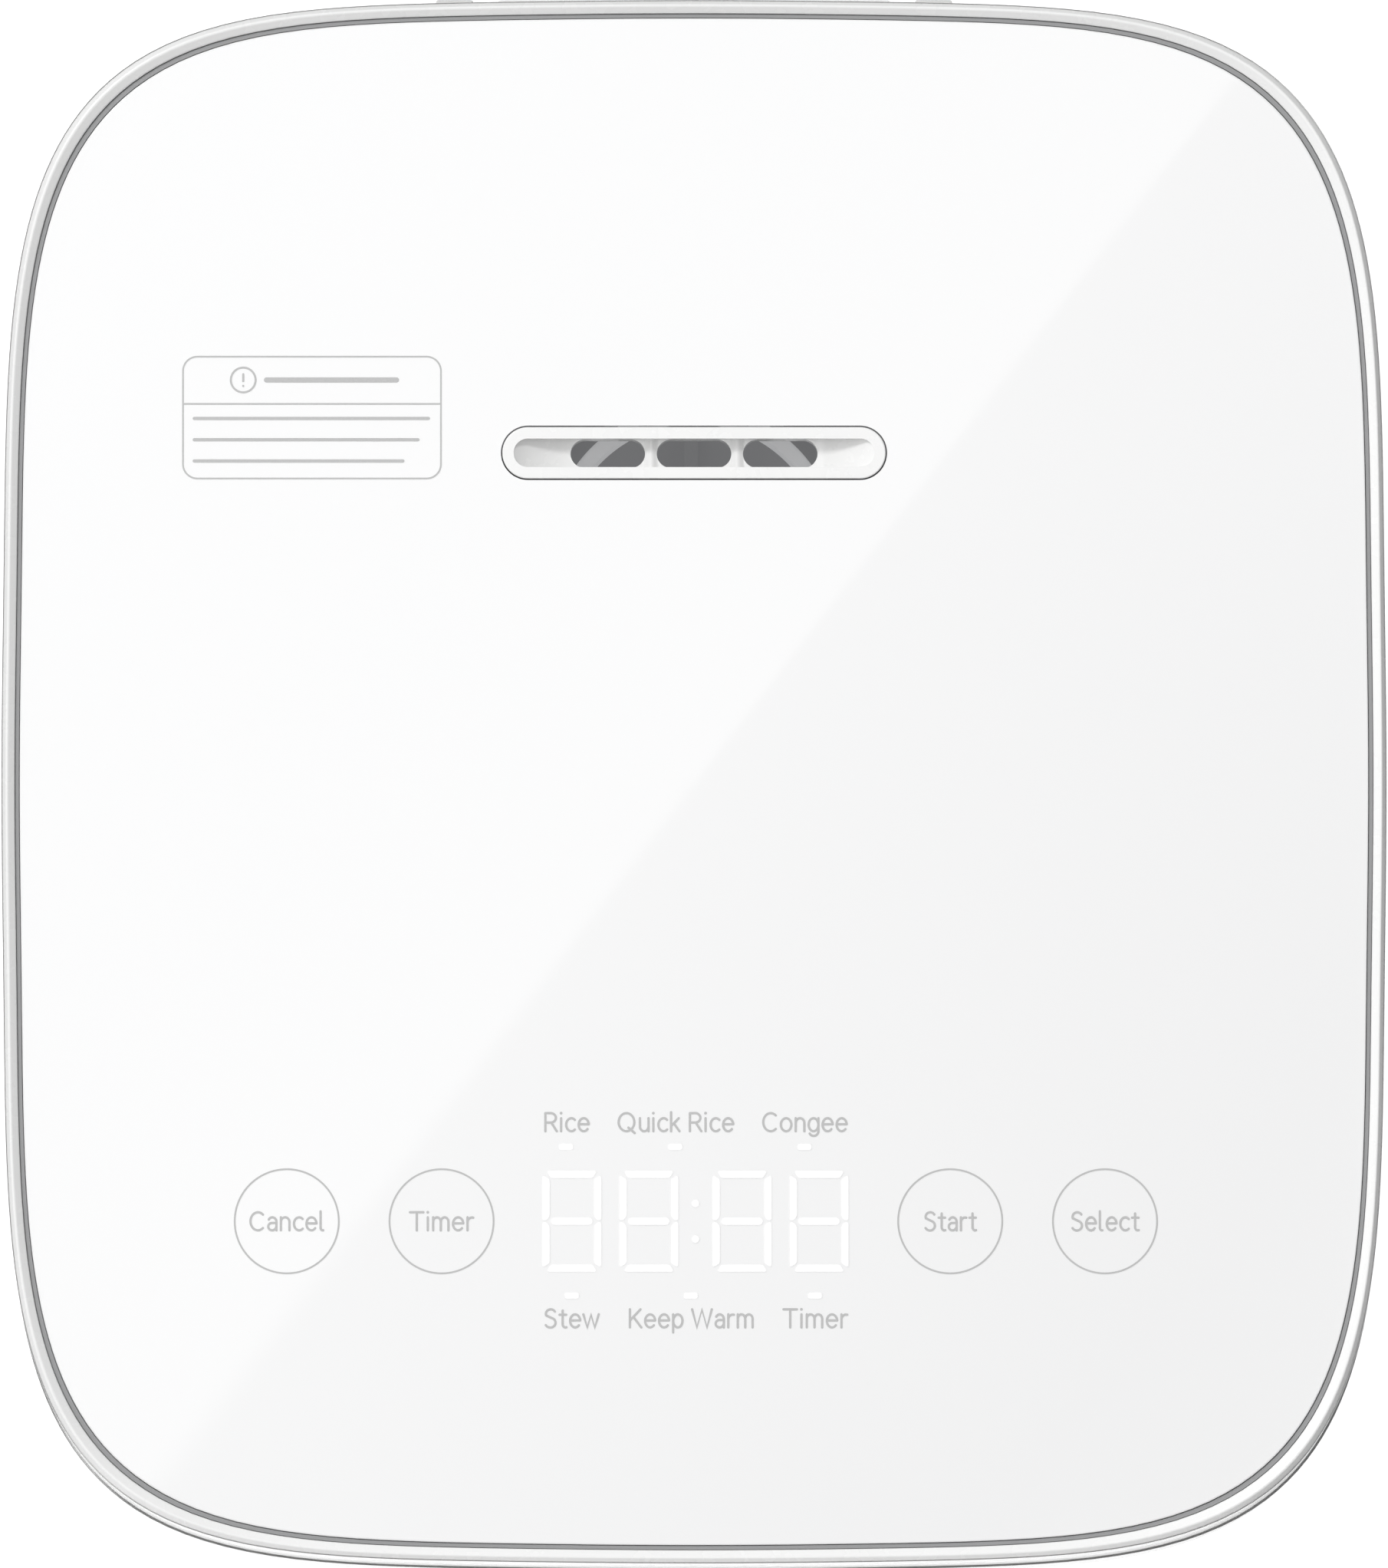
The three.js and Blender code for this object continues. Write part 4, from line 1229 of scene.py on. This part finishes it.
def flags():
    """Black boards beside and behind the cooker, which darken its edges. The front stays open."""
    look, tree, shader = material("flag_black")
    shader.inputs["Base Color"].default_value = (0.02, 0.02, 0.02, 1)
    tree.links.new(ranged(tree, value_noise(tree, 5.0), 0.8, 0.95), shader.inputs["Roughness"])
    far, right, top = 0.36, 0.25, 0.2
    corners = [(-far, -far), (right, -far), (right, far), (-far, far)]
    verts = [(x, y, z) for z in (0.002, top) for x, y in corners]
    staged("flags", verts, [(i, (i + 1) % 4, 4 + (i + 1) % 4, 4 + i) for i in (1, 2, 3)], look, False)


def lamp(name, data, location=(0, 0, 0)):
    made = bpy.data.objects.new(name, data)
    scene.collection.objects.link(made)
    made.location = location
    return made


def lights():
    fill = bpy.data.lights.new("front_fill", "AREA")
    fill.shape = "RECTANGLE"
    fill.size, fill.size_y = 1.5, 0.4
    fill.energy = 0.8
    lamp("front_fill", fill, (0, -1.3, 0.25)).rotation_euler = (math.radians(90), 0, 0)

    key = bpy.data.lights.new("key", "SUN")
    key.energy, key.angle = 1.1, 0.2
    toward = Vector((-0.45, 0.5, 1.0))
    lamp("key", key).rotation_euler = toward.to_track_quat("Z", "Y").to_euler()


def surroundings():
    """Plain white to the camera. To everything else, brighter from the left and the back."""
    world = bpy.data.worlds.new("studio")
    scene.world = world
    world.use_nodes = True
    tree = world.node_tree
    back = tree.nodes["Background"]
    spot = tree.nodes.new("ShaderNodeTexCoord")
    lean = tree.nodes.new("ShaderNodeVectorMath")
    lean.operation = "DOT_PRODUCT"
    lean.inputs[1].default_value = (-0.36, 0.18, 0.0)
    tree.links.new(spot.outputs["Generated"], lean.inputs[0])
    level = maths(tree, "MAXIMUM", maths(tree, "ADD", lean.outputs["Value"], 0.64), 0.08)
    path = tree.nodes.new("ShaderNodeLightPath")
    tree.links.new(mixed(tree, path.outputs["Is Camera Ray"], level, 1.0), back.inputs["Strength"])
    back.inputs["Color"].default_value = (1, 1, 1, 1)


def camera():
    data = bpy.data.cameras.new("camera")
    data.lens = LENS
    data.clip_start, data.clip_end = 0.1, 100
    eye = bpy.data.objects.new("camera", data)
    scene.collection.objects.link(eye)
    eye.location = TARGET + Vector((0, -math.sin(TILT), math.cos(TILT))) * AWAY
    eye.rotation_euler = (TILT, 0, 0)
    scene.camera = eye
    scene.view_settings.view_transform = "Standard"


staged("floor", square(30.0), [(0, 1, 2, 3)], floor_look())
card()
flags()
lights()
surroundings()
camera()
